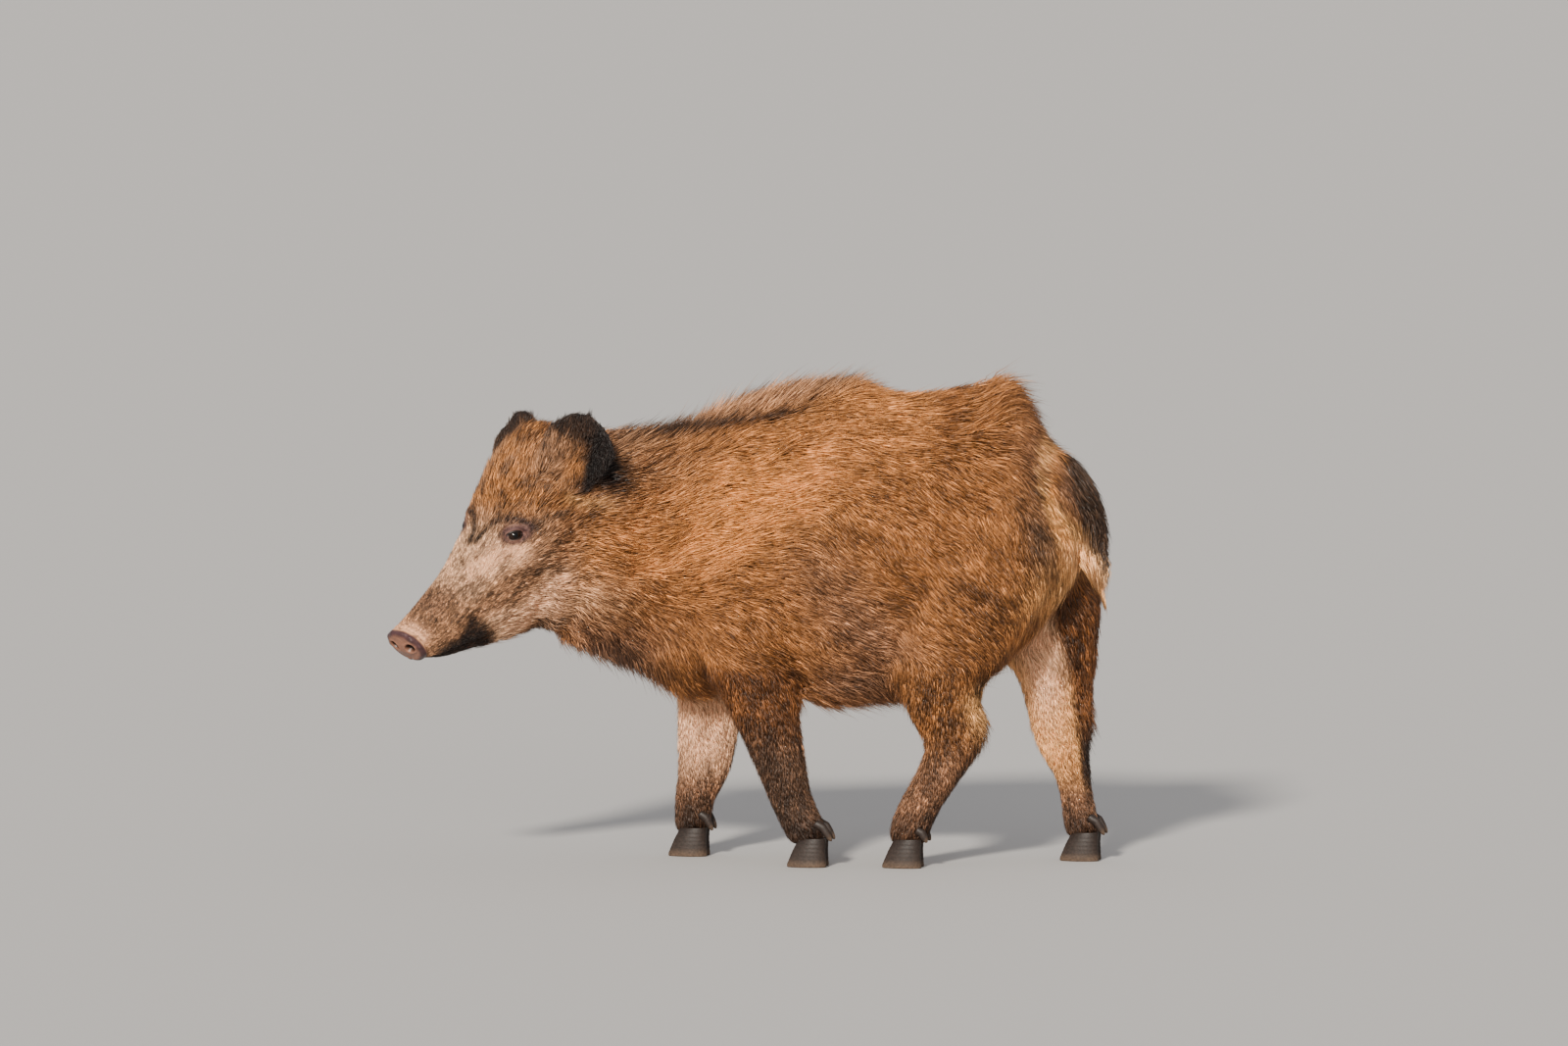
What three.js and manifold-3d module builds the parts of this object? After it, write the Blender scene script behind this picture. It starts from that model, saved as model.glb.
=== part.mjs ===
// A young wild boar in its winter coat, life-size and still, in a slow walk with the head
// lowered and turned to its left. Millimetres, +Z up. The head is toward -X, the tail toward
// +X, the animal's left side toward -Y. Every solid reaches out to the tips of the coat.
import * as THREE from 'three';
import { mergeVertices } from 'three/addons/utils/BufferGeometryUtils.js';
import Module from 'manifold-3d';

const wasm = await Module();
wasm.setup();

// ---- overall sizes and pose -----------------------------------------------------------------
const GAP = 0.3;            // clearance between neighbouring solids
const HEAD_LENGTH = 394;    // from the back of the head to the face of the snout disc
const HEAD_YAW = 50;        // degrees the head turns to the animal's left
const HEAD_PITCH = 44.5;    // degrees the snout points down
const HEAD_ROLL = 8;        // degrees the left cheek hangs lower
const HEAD_BACK = [-237, -60, 572];   // where the head's long axis meets its back
const NECK_CUT_X = -75;     // plane between trunk and neck
const NAPE = [-246, -74, 430];        // a point of the plane between neck and head
const NAPE_FACING = [-0.80, -0.58, 0.12];   // that plane's direction, toward the face
const FORELEG_TOP = 258;    // level where a foreleg leaves the trunk
const HIND_LEG_TOP = 276;   // level where a hind leg leaves the trunk
const HOOF_HEIGHT = 37;     // coronet above the floor
const HOOF_LENGTH = 52;
const HOOF_WIDTH = 23;
const HOOF_SPREAD = 13;     // each main hoof's centre out from the foot's centre line
const DISC_WIDTH = 66;
const DISC_HEIGHT = 58;
const DISC_DEPTH = 14;
const EYE_RADIUS = 11.5;
const EYE_SEAT = [208, 40.5, 0];      // back from the disc, out from the middle, up
const EAR_LEFT_ROOT = [298, 59, -6];
const EAR_RIGHT_ROOT = [301, 48, -23];   // the right ear stands a little closer in
const EAR_RIGHT_TURN = 26;    // degrees that the right ear is turned further forward
const EAR_LENGTH = 106;
const EAR_WIDTH = 116;

// Trunk and neck, from the rump forward: x, y, level of the widest girth z, half width,
// reach up, reach down, roundness above, roundness below, turn of the section (degrees left).
const BODY = [
  [443, 0, 432, 6, 6, 6, 2, 2, 0],
  [440, 0, 434, 36, 34, 38, 2, 2, 0],
  [430, 0, 438, 62, 68, 72, 2, 2, 0],
  [412, 0, 440, 84, 108, 104, 2, 2, 0],
  [390, 0, 440, 97, 142, 130, 1.9, 2, 0],
  [366, 0, 440, 104, 184, 156, 1.8, 2, 0],
  [342, 0, 435, 107, 219, 174, 1.7, 2, 0],
  [316, 0, 428, 109, 228, 184, 1.7, 2.1, 0],
  [290, 0, 420, 112, 221, 186, 1.8, 2.1, 0],
  [256, 0, 410, 117, 220, 190, 1.9, 2.1, 0],
  [212, 0, 402, 122, 226, 190, 1.9, 2.1, 0],
  [166, 0, 396, 124, 237, 189, 1.8, 2.1, 0],
  [120, 0, 392, 123, 262, 193, 1.7, 2.1, 0],
  [78, 0, 392, 120, 260, 186, 1.65, 2.1, 0],
  [36, 0, 394, 117, 252, 172, 1.65, 2.1, 0],
  [-8, 0, 396, 114, 237, 172, 1.7, 2.1, 0],
  [-52, 0, 398, 110, 212, 180, 1.75, 2, 4],
  [-96, -4, 402, 104, 183, 184, 1.85, 1.95, 10],
  [-138, -18, 410, 97, 174, 166, 1.9, 1.9, 20],
  [-180, -42, 420, 90, 164, 157, 1.9, 1.9, 30],
  [-216, -68, 428, 79, 146, 150, 2, 2, 38],
  [-244, -96, 420, 55, 116, 126, 2, 2, 44],
  [-260, -116, 408, 28, 62, 72, 2, 2, 50],
  [-272, -130, 400, 6, 8, 8, 2, 2, 50],
];

// Head, from its back to the snout: distance from the disc's face, height of the widest girth
// off the long axis, half width, reach up, reach down, roundness above, roundness below.
const HEAD = [
  [398, -40, 8, 10, 10, 2, 2],
  [390, -40, 42, 60, 56, 2, 2],
  [370, -38, 62, 86, 96, 2, 2],
  [335, -36, 74, 93, 124, 2, 2],
  [295, -36, 79, 88, 134, 2, 2],
  [255, -36, 77, 74, 140, 2.1, 1.9],
  [220, -34, 70, 61, 138, 2.1, 1.9],
  [185, -32, 58, 50, 130, 2.1, 1.85],
  [150, -29, 48, 44, 116, 2.1, 1.85],
  [115, -25, 41, 41, 96, 2.1, 1.85],
  [80, -20, 36, 37, 73, 2.2, 1.9],
  [50, -14, 33, 33, 55, 2.2, 1.9],
  [30, -8, 31, 31, 42, 2.2, 2],
  [16, -4, 29, 28, 30, 2.2, 2.1],
  [10, -2, 27, 26, 26, 2.2, 2.2],
];

// Legs from the top down: x, y, z, half width, reach forward, reach back.
const LEG_FRONT_LEFT = [
  [-20, -50, 470, 42, 66, 70], [-16, -62, 410, 50, 80, 84], [-5, -69, 338, 47, 72, 76],
  [14, -74, 264, 41, 59, 60], [32, -76, 205, 34, 47, 50], [45, -76, 160, 31, 38, 42],
  [57, -76, 122, 29, 34, 35], [66, -76, 90, 26, 30, 31], [84, -76, 54, 26, 28, 30],
  [92, -76, HOOF_HEIGHT, 24, 25, 27],
];
const LEG_FRONT_RIGHT = [
  [-26, 50, 470, 42, 66, 70], [-30, 62, 410, 50, 80, 84], [-42, 69, 338, 47, 72, 76],
  [-54, 72, 264, 41, 59, 60], [-63, 73, 205, 34, 47, 48], [-67, 72, 150, 31, 42, 43],
  [-72, 71, 112, 29, 36, 38], [-82, 71, 84, 26, 30, 30], [-86, 71, 54, 25, 27, 28],
  [-88, 71, HOOF_HEIGHT, 24, 25, 27],
];
const LEG_HIND_LEFT = [
  [354, -52, 508, 40, 70, 62], [342, -64, 455, 50, 96, 84], [318, -74, 390, 52, 100, 96],
  [288, -79, 318, 47, 88, 84], [268, -77, 254, 39, 64, 62], [270, -74, 208, 32, 50, 50],
  [281, -72, 174, 29, 41, 48], [276, -72, 148, 27, 35, 35], [258, -71, 114, 26, 31, 29],
  [238, -71, 80, 25, 30, 28], [225, -71, 54, 26, 29, 29], [218, -71, HOOF_HEIGHT, 24, 25, 27],
];
const LEG_HIND_RIGHT = [
  [364, 52, 508, 40, 70, 62], [368, 64, 455, 50, 94, 74], [374, 74, 390, 52, 96, 88],
  [386, 78, 318, 47, 84, 80], [402, 76, 254, 38, 58, 58], [404, 73, 208, 31, 46, 46],
  [409, 71, 168, 28, 41, 41], [416, 71, 142, 27, 34, 35], [425, 70, 114, 25, 26, 26],
  [430, 70, 80, 24, 24, 24], [435, 70, 54, 25, 26, 27], [437, 70, HOOF_HEIGHT, 24, 25, 27],
];

// Tail from its root down: x, y, z, half width, reach forward, reach back.
const TAIL = [
  [390, 0, 534, 20, 20, 24], [412, 0, 520, 25, 30, 34], [434, 0, 492, 26, 33, 34],
  [448, 0, 456, 24, 28, 31], [458, 0, 424, 20, 22, 24], [464, 0, 394, 14, 15, 15],
  [468, 0, 368, 7, 7, 7], [470, 0, 354, 2.5, 2.5, 2.5],
];

// ---- shape helpers --------------------------------------------------------------------------

// Smooth, never-overshooting blend of one column of a station table.
function column(stations, k) {
  const n = stations.length;
  const v = stations.map((s) => s[k]);
  const d = v.slice(1).map((b, i) => b - v[i]);
  const m = v.map((_, i) => {
    if (i === 0) return d[0];
    if (i === n - 1) return d[n - 2];
    return d[i - 1] * d[i] <= 0 ? 0 : (2 * d[i - 1] * d[i]) / (d[i - 1] + d[i]);
  });
  return (t) => {
    const i = Math.min(Math.floor(t), n - 2);
    const u = t - i, a = u * u * (3 - 2 * u), b = u * (1 - u) * (1 - u), c = u * u * (u - 1);
    return v[i] + a * d[i] + b * m[i] + c * m[i + 1];
  };
}

// One closed section: an egg of the given half width and reaches, in the plane of two axes.
function section(centre, across, upward, half, up, down, roundUp, roundDown, sides) {
  const ring = [];
  for (let k = 0; k < sides; k++) {
    const a = (2 * Math.PI * k) / sides, c = Math.cos(a), s = Math.sin(a);
    const round = s >= 0 ? roundUp : roundDown;
    const x = half * Math.sign(c) * Math.abs(c) ** (2 / round);
    const y = (s >= 0 ? up : down) * Math.sign(s) * Math.abs(s) ** (2 / round);
    ring.push(centre.clone().addScaledVector(across, x).addScaledVector(upward, y));
  }
  return ring;
}

// Closed skin over a row of sections, with a fan at either end.
function skin(rings) {
  const sides = rings[0].length, points = rings.flat(), index = [];
  for (let i = 0; i + 1 < rings.length; i++) {
    for (let k = 0; k < sides; k++) {
      const a = i * sides + k, b = i * sides + ((k + 1) % sides);
      index.push(a, b, b + sides, a, b + sides, a + sides);
    }
  }
  for (const [ring, first, flip] of [[rings[0], 0, true],
    [rings.at(-1), (rings.length - 1) * sides, false]]) {
    const mid = ring.reduce((s, p) => s.add(p), new THREE.Vector3()).divideScalar(sides);
    const hub = points.push(mid) - 1;
    for (let k = 0; k < sides; k++) {
      const a = first + k, b = first + ((k + 1) % sides);
      index.push(...(flip ? [hub, b, a] : [hub, a, b]));
    }
  }
  const geometry = new THREE.BufferGeometry().setFromPoints(points);
  geometry.setIndex(index);
  return geometry;
}

function toSolid(geometry) {
  const bare = geometry.clone();
  bare.deleteAttribute('normal');
  bare.deleteAttribute('uv');
  const merged = mergeVertices(bare, 1e-4);
  const verts = Float32Array.from(merged.attributes.position.array);
  const tris = Uint32Array.from(merged.index.array);
  const build = () => new wasm.Manifold(
    new wasm.Mesh({ numProp: 3, vertProperties: verts, triVerts: tris }));
  let solid = build();
  if (solid.volume() < 0) {
    for (let i = 0; i < tris.length; i += 3) [tris[i], tris[i + 1]] = [tris[i + 1], tris[i]];
    solid = build();
  }
  return solid;
}

function toGeometry(solid) {
  const { vertProperties, triVerts } = solid.getMesh();
  const geometry = new THREE.BufferGeometry();
  geometry.setAttribute('position', new THREE.Float32BufferAttribute(vertProperties, 3));
  geometry.setIndex([...triVerts]);
  geometry.computeVertexNormals();
  return geometry;
}

// The largest single body of a solid, without the crumbs a cut may leave.
function largest(solid) {
  return solid.decompose().reduce((a, b) => (b.volume() > a.volume() ? b : a));
}

// ---- trunk and neck -------------------------------------------------------------------------

function bodySolid(grow = 0) {
  const pick = BODY[0].map((_, k) => column(BODY, k));
  const rings = [], steps = 34;
  for (let i = 0; i <= steps; i++) {
    const t = (i / steps) * (BODY.length - 1);
    const [x, y, z, half, up, down, roundUp, roundDown, turn] = pick.map((f) => f(t));
    const a = THREE.MathUtils.degToRad(turn);
    const across = new THREE.Vector3(Math.sin(a), -Math.cos(a), 0);
    rings.push(section(new THREE.Vector3(x, y, z), across, new THREE.Vector3(0, 0, 1),
      half + grow, up + grow, down + grow, roundUp, roundDown, 24));
  }
  if (grow) {
    for (const p of rings[0]) p.x += grow;
    for (const p of rings.at(-1)) p.x -= grow;
  }
  return toSolid(skin(rings));
}

// ---- head -----------------------------------------------------------------------------------

const yaw = THREE.MathUtils.degToRad(HEAD_YAW), pitch = THREE.MathUtils.degToRad(HEAD_PITCH);
const roll = THREE.MathUtils.degToRad(HEAD_ROLL);
const forward = new THREE.Vector3(-Math.cos(yaw) * Math.cos(pitch),
  -Math.sin(yaw) * Math.cos(pitch), -Math.sin(pitch));
const level = new THREE.Vector3(Math.sin(yaw), -Math.cos(yaw), 0);
const crown = new THREE.Vector3().crossVectors(forward, level);
const left = level.clone().multiplyScalar(Math.cos(roll)).addScaledVector(crown, -Math.sin(roll));
const dorsal = crown.clone().multiplyScalar(Math.cos(roll))
  .addScaledVector(level, Math.sin(roll));

// A place on the head: back from the disc's face, to the left, and above the long axis.
function onHead(back, side, height) {
  return new THREE.Vector3(...HEAD_BACK).addScaledVector(forward, HEAD_LENGTH - back)
    .addScaledVector(left, side).addScaledVector(dorsal, height);
}

// Sections set square to the head's long axis, from rows like those of HEAD.
function alongHead(rows, grow, sides) {
  return rows.map(([back, height, half, up, down, roundUp, roundDown]) => section(
    onHead(back, 0, height), left, dorsal, half + grow, up + grow, down + grow,
    roundUp, roundDown, sides));
}

function headSolid(grow = 0) {
  const pick = HEAD[0].map((_, k) => column(HEAD, k));
  const rows = [], steps = 19;
  for (let i = 0; i <= steps; i++) {
    rows.push(pick.map((f) => f((i / steps) * (HEAD.length - 1))));
  }
  rows[0][0] += grow;
  rows.at(-1)[0] -= grow;
  return toSolid(skin(alongHead(rows, grow, 22)));
}

function discSolid(grow = 0) {
  const w = DISC_WIDTH / 2, h = DISC_HEIGHT / 2;
  const rows = [
    [DISC_DEPTH + grow, 0, w - 5, h - 4, h - 4, 2.2, 2.2],
    [DISC_DEPTH - 4, 0, w - 1, h - 1, h - 1, 2.3, 2.2],
    [5, 0, w, h, h, 2.3, 2.1],
    [1.5, 0, w - 2, h - 2, h - 2, 2.3, 2.1],
    [0 - grow, 0, w - 7, h - 7, h - 7, 2.3, 2.1],
  ];
  return toSolid(skin(alongHead(rows, grow, 20)));
}

function nostril(side) {
  const rows = [[9, 3, 3, 4, 4, 2, 2], [5, 3, 4.5, 6, 6, 2, 2], [-1, 3, 5.5, 7.5, 7, 2, 2]];
  const rings = alongHead(rows, 0, 10);
  for (const p of rings.flat()) p.addScaledVector(left, side * 13);
  return toSolid(skin(rings));
}

function ball(centre, radius, wide, high) {
  const geometry = new THREE.SphereGeometry(radius, wide, high);
  geometry.translate(centre.x, centre.y, centre.z);
  return toSolid(geometry);
}

const eyeCentre = (side) => onHead(EYE_SEAT[0], side * EYE_SEAT[1], EYE_SEAT[2]);

// Hollow over the eye, so that the ball stands open to the outside.
function socket(side) {
  const geometry = new THREE.SphereGeometry(1, 12, 8);
  const out = left.clone().multiplyScalar(side);
  geometry.applyMatrix4(new THREE.Matrix4().makeScale(14, 10.5, 17));
  geometry.applyMatrix4(side > 0 ? new THREE.Matrix4().makeBasis(forward.clone().negate(),
    dorsal, out) : new THREE.Matrix4().makeBasis(forward, dorsal, out));
  const at = onHead(EYE_SEAT[0], side * (EYE_SEAT[1] + 21), EYE_SEAT[2]);
  geometry.translate(at.x, at.y, at.z);
  return toSolid(geometry);
}

// Cupped leaf: rows along its length, thick at the root and thin at the rim.
function earSolid(side, grow = 0) {
  const way = (back, out, up) => new THREE.Vector3().addScaledVector(forward, -back)
    .addScaledVector(left, out * side).addScaledVector(dorsal, up).normalize();
  const [back, out, up] = side > 0 ? EAR_LEFT_ROOT : EAR_RIGHT_ROOT;
  const root = onHead(back, side * out, up);
  const along = way(0.857, 0.08, 0.514);
  const across = way(0.394, 0.643, -0.656);
  const open = new THREE.Vector3().crossVectors(along, across).normalize();
  if (open.dot(left) * side < 0) open.negate();
  if (side < 0) {
    const turn = (Math.PI / 180) * EAR_RIGHT_TURN, flat = across.clone();
    across.multiplyScalar(Math.cos(turn)).addScaledVector(open, Math.sin(turn));
    open.multiplyScalar(Math.cos(turn)).addScaledVector(flat, -Math.sin(turn));
  }
  const rings = [], steps = 9, span = 14;
  for (let i = 0; i <= steps; i++) {
    const t = i / steps;
    const half = (EAR_WIDTH / 2) * (0.36 + 1.44 * t - 0.46 * t * t - 1.06 * t ** 4) + grow;
    const cup = 24 * (1 - 0.5 * t);
    const thick = 6 * (1 - t) + 3.5 + grow;
    const ring = [];
    for (let k = 0; k < span; k++) {
      const a = (2 * Math.PI * k) / span, c = Math.cos(a), s = Math.sin(a);
      const bend = cup * (c * c - 0.5) * (half / (EAR_WIDTH / 2)) ** 2;
      ring.push(root.clone().addScaledVector(along, t * EAR_LENGTH)
        .addScaledVector(across, half * c + 6 * Math.sin(Math.PI * t))
        .addScaledVector(open, bend + thick * s + 7 * Math.sin(Math.PI * Math.min(1, 1.4 * t))));
    }
    rings.push(ring);
  }
  return toSolid(skin(rings));
}

// ---- legs, feet and tail --------------------------------------------------------------------

// A limb through stations given from the top down; each section is square to the limb.
function limbSolid(stations, sides, grow = 0) {
  const pick = stations[0].map((_, k) => column(stations, k));
  const at = (t) => new THREE.Vector3(pick[0](t), pick[1](t), pick[2](t));
  const rings = [], last = stations.length - 1, steps = Math.round(1.5 * last);
  for (let i = 0; i <= steps; i++) {
    const t = (i / steps) * last, a = at(Math.max(0, t - 0.6)), b = at(Math.min(last, t + 0.6));
    const down = b.sub(a).normalize();
    if (i === steps) down.set(0, 0, -1);
    const side = new THREE.Vector3(0, -1, 0);
    const front = new THREE.Vector3().crossVectors(side, down).normalize();
    if (front.x > 0) front.negate();
    side.crossVectors(front, down).normalize();
    rings.push(section(at(t), side, front, pick[3](t) + grow, pick[4](t) + grow,
      pick[5](t) + grow, 2, 2, sides));
  }
  if (grow) for (const p of rings[0]) p.z += grow;
  return toSolid(skin(rings));
}

// A main hoof: flat sole, sloping toe wall, narrower at the coronet.
function hoofSolid(x, y, out) {
  const rows = [[0, 1, 1, 0], [5, 1.02, 1.02, 0], [22, 0.95, 0.9, 2.5],
    [HOOF_HEIGHT - GAP, 0.84, 0.7, 6.5]];
  const rings = rows.map(([z, wide, long, shift]) => {
    const ring = [];
    for (let k = 0; k < 14; k++) {
      const a = (2 * Math.PI * k) / 14, c = Math.cos(a), s = Math.sin(a);
      const toe = c > 0 ? 1 - 0.42 * c * c : 1;
      const px = x + 2 + shift - c * (c > 0 ? 0.58 : 0.42) * HOOF_LENGTH * long;
      ring.push(new THREE.Vector3(px, y + out * HOOF_SPREAD
        + s * 0.5 * HOOF_WIDTH * wide * toe, z));
    }
    return ring;
  });
  return toSolid(skin(rings));
}

// A dewclaw: a small blunt cone behind and beside the foot, pointing back and down.
function dewclawSolid(x, y, out) {
  const rings = [];
  for (const [t, r] of [[0, 7], [0.55, 7], [1, 2.5]]) {
    const centre = new THREE.Vector3(x + 17 + 15 * t, y + out * (14 + 4 * t), 58 - 23 * t);
    rings.push(section(centre, new THREE.Vector3(0, 1, 0),
      new THREE.Vector3(0.8, 0, 0.6), r, r, r, 2, 2, 6));
  }
  return toSolid(skin(rings));
}

// ---- finishes and assembly ------------------------------------------------------------------

const object = new THREE.Group();
object.name = 'wild_boar';

const FINISH = {
  coat: [0x7a5a3c, 0.9], mane: [0x5f4c3a, 0.9], leg: [0x3f3026, 0.9], ear: [0x4a3d33, 0.9],
  disc: [0x8a6a60, 0.55], hoof: [0x2c2622, 0.5], eye: [0x1a120c, 0.1],
};

function add(name, solid, finish) {
  const [color, roughness] = FINISH[finish];
  const material = new THREE.MeshStandardMaterial({ color, roughness, metalness: 0 });
  const mesh = new THREE.Mesh(toGeometry(solid), material);
  mesh.name = name;
  object.add(mesh);
}

function boxSolid(size, at) {
  return toSolid(new THREE.BoxGeometry(...size).translate(...at));
}

// Everything on the far side of a plane through a point, as one great block.
function beyond(point, facing, sign) {
  const way = new THREE.Vector3(...facing).normalize().multiplyScalar(sign);
  const geometry = new THREE.BoxGeometry(1600, 1600, 1600);
  geometry.applyQuaternion(new THREE.Quaternion()
    .setFromUnitVectors(new THREE.Vector3(0, 0, 1), way));
  const at = new THREE.Vector3(...point).addScaledVector(way, 800 + GAP / 2);
  return toSolid(geometry.translate(at.x, at.y, at.z));
}

const body = bodySolid(), bodyGrown = bodySolid(GAP);
const head = headSolid(), headGrown = headSolid(GAP);
const front = body.add(head);
const neckZone = beyond([NECK_CUT_X, 0, 0], [1, 0, 0], -1);
add('neck', largest(front.intersect(neckZone).intersect(beyond(NAPE, NAPE_FACING, -1))),
  'mane');

const eyes = [1, -1].map((side) => ball(eyeCentre(side), EYE_RADIUS, 14, 9));
const eyesGrown = [1, -1].map((side) => ball(eyeCentre(side), EYE_RADIUS + GAP, 14, 9));
let face = front.intersect(beyond(NAPE, NAPE_FACING, 1)).subtract(discSolid(GAP));
for (const side of [1, -1]) face = face.subtract(socket(side));
for (const grown of eyesGrown) face = face.subtract(grown);
add('head', largest(face), 'coat');
add('snout_disc', largest(discSolid().subtract(nostril(1)).subtract(nostril(-1))), 'disc');
add('eye_left', eyes[0], 'eye');
add('eye_right', eyes[1], 'eye');
for (const [name, side] of [['ear_left', 1], ['ear_right', -1]]) {
  add(name, largest(earSolid(side).subtract(headGrown).subtract(bodyGrown)), 'ear');
}

// Shoulders and haunches belong to the trunk; each leg is its own solid below them.
const legs = [['front_left', LEG_FRONT_LEFT, FORELEG_TOP],
  ['front_right', LEG_FRONT_RIGHT, FORELEG_TOP],
  ['hind_left', LEG_HIND_LEFT, HIND_LEG_TOP], ['hind_right', LEG_HIND_RIGHT, HIND_LEG_TOP]];
let trunk = body.intersect(beyond([NECK_CUT_X, 0, 0], [1, 0, 0], 1));
for (const [foot, stations, top] of legs) {
  const [x, y] = stations.at(-1);
  const limb = limbSolid(stations, 14);
  trunk = trunk.add(limb.intersect(boxSolid([2000, 600, 600], [0, 0, top + 300]))
    .intersect(beyond([NECK_CUT_X, 0, 0], [1, 0, 0], 1)));
  const height = top - GAP - HOOF_HEIGHT;
  const zone = boxSolid([2000, 600, height], [0, 0, HOOF_HEIGHT + height / 2]);
  add(`leg_${foot}`, largest(limb.intersect(zone).subtract(bodyGrown)), 'leg');
  for (const [where, out] of [['outer', Math.sign(y)], ['inner', -Math.sign(y)]]) {
    add(`hoof_${foot}_${where}`, hoofSolid(x, y, out), 'hoof');
    add(`dewclaw_${foot}_${where}`,
      largest(dewclawSolid(x, y, out).subtract(limbSolid(stations, 14, GAP))), 'hoof');
  }
}
add('trunk', largest(trunk), 'coat');
add('tail', largest(limbSolid(TAIL, 12).subtract(bodyGrown)), 'mane');

// Set the model on the floor with the middle of its box over the origin.
object.updateMatrixWorld(true);
const box = new THREE.Box3().setFromObject(object, true);
const shift = new THREE.Vector3(-(box.min.x + box.max.x) / 2, -(box.min.y + box.max.y) / 2,
  -box.min.z);
for (const mesh of object.children) mesh.geometry.translate(shift.x, shift.y, shift.z);

export default object;
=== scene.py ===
"""A young wild boar in its winter coat, life size: one skin, eyes, hooves and a coat of solid tufts.

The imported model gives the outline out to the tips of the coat. The skin is drawn from it and lies inside it by
the depth of the coat, and the tufts grow from the skin out to that outline.
"""

import logging
import math
from collections.abc import Callable
from dataclasses import dataclass, field
from enum import Enum

import bpy
import numpy as np
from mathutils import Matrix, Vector
from mathutils.bvhtree import BVHTree
from mathutils.kdtree import KDTree


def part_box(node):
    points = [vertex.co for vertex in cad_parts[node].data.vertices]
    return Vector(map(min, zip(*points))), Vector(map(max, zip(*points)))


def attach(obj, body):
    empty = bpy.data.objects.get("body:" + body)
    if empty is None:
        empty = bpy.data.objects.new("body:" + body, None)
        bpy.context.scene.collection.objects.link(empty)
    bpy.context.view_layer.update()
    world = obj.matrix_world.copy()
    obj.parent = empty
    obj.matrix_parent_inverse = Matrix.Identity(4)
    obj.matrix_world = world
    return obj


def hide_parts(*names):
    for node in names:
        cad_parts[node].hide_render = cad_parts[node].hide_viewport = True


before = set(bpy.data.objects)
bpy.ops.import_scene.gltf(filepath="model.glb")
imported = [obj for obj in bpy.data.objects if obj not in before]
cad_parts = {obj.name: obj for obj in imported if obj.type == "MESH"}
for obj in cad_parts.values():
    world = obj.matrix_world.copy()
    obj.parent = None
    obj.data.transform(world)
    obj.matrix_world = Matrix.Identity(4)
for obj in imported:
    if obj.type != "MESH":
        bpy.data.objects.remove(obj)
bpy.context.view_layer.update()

MM = 0.001
ROOT = "root"  # the one body of a model without joints
BAKE_MAP = "OFBake"
HAIR = "hair_colour"  # the colour attribute of skin and coat
log = logging.getLogger("wild_boar")

Array = np.ndarray


# ---- small sums -----------------------------------------------------------------------------------------------


def smooth(x: Array, low: float, high: float) -> Array:
    """Soft step from 0 at low to 1 at high; low may be the greater one."""
    t = np.clip((x - low) / (high - low), 0.0, 1.0)
    return t * t * (3.0 - 2.0 * t)


def hump(x: Array, centre: float, width: float) -> Array:
    """Bell of height 1 round a centre, falling to 0.37 one width away."""
    return np.exp(-(((x - centre) / width) ** 2))


def unit(v: Array) -> Array:
    """Rows of v at length 1."""
    return v / np.maximum(np.linalg.norm(v, axis=-1, keepdims=True), 1e-12)


def dot(a: Array, b: Array) -> Array:
    """Row by row dot product."""
    return np.einsum("...i,...i->...", a, b)


def mix(a: Array, b: Array, t: Array) -> Array:
    """Row by row blend from a to b."""
    t = np.asarray(t)
    if np.ndim(a) > 1 or np.ndim(b) > 1:
        t = t[..., None]
    return a + (b - a) * t


# ---- names for options ----------------------------------------------------------------------------------------


class Part(Enum):
    """The parts of the body that the skin is drawn from, by node name."""

    TRUNK = "trunk"
    NECK = "neck"
    HEAD = "head"
    DISC = "snout_disc"
    EAR_LEFT = "ear_left"
    EAR_RIGHT = "ear_right"
    FORE_LEFT = "leg_front_left"
    FORE_RIGHT = "leg_front_right"
    HIND_LEFT = "leg_hind_left"
    HIND_RIGHT = "leg_hind_right"
    TAIL = "tail"


TRUNK_PARTS = (Part.TRUNK, Part.NECK)
HEAD_PARTS = (Part.HEAD, Part.DISC)
EAR_SIDES = ((Part.EAR_LEFT, 1.0), (Part.EAR_RIGHT, -1.0))
FORE_PARTS = (Part.FORE_LEFT, Part.FORE_RIGHT)
HIND_PARTS = (Part.HIND_LEFT, Part.HIND_RIGHT)


class Tone(Enum):
    """Colours of hair and skin, as scene-linear red, green and blue."""

    GOLD = (0.37, 0.145, 0.042)
    SAND = (0.68, 0.275, 0.080)
    TAN = (0.47, 0.187, 0.054)
    RUST = (0.17, 0.060, 0.016)
    UMBER = (0.085, 0.029, 0.008)
    MAUVE = (0.27, 0.130, 0.070)
    ASH = (0.47, 0.230, 0.112)
    GREY = (0.155, 0.083, 0.046)
    SMOKE = (0.068, 0.036, 0.020)
    SABLE = (0.030, 0.0145, 0.008)
    BLACK = (0.008, 0.0045, 0.0035)
    AMBER = (0.92, 0.36, 0.085)
    CREAM = (1.0, 0.52, 0.19)
    PALE = (1.0, 0.60, 0.35)
    BLUSH = (0.80, 0.42, 0.24)
    FLESH = (0.20, 0.088, 0.054)
    PLUM = (0.042, 0.018, 0.019)
    LID = (0.110, 0.050, 0.042)


Paint = Callable[[Tone, Tone, Array], None]  # lays a root and a tip tone over the coat, by weight


# ---- places ---------------------------------------------------------------------------------------------------


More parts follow.
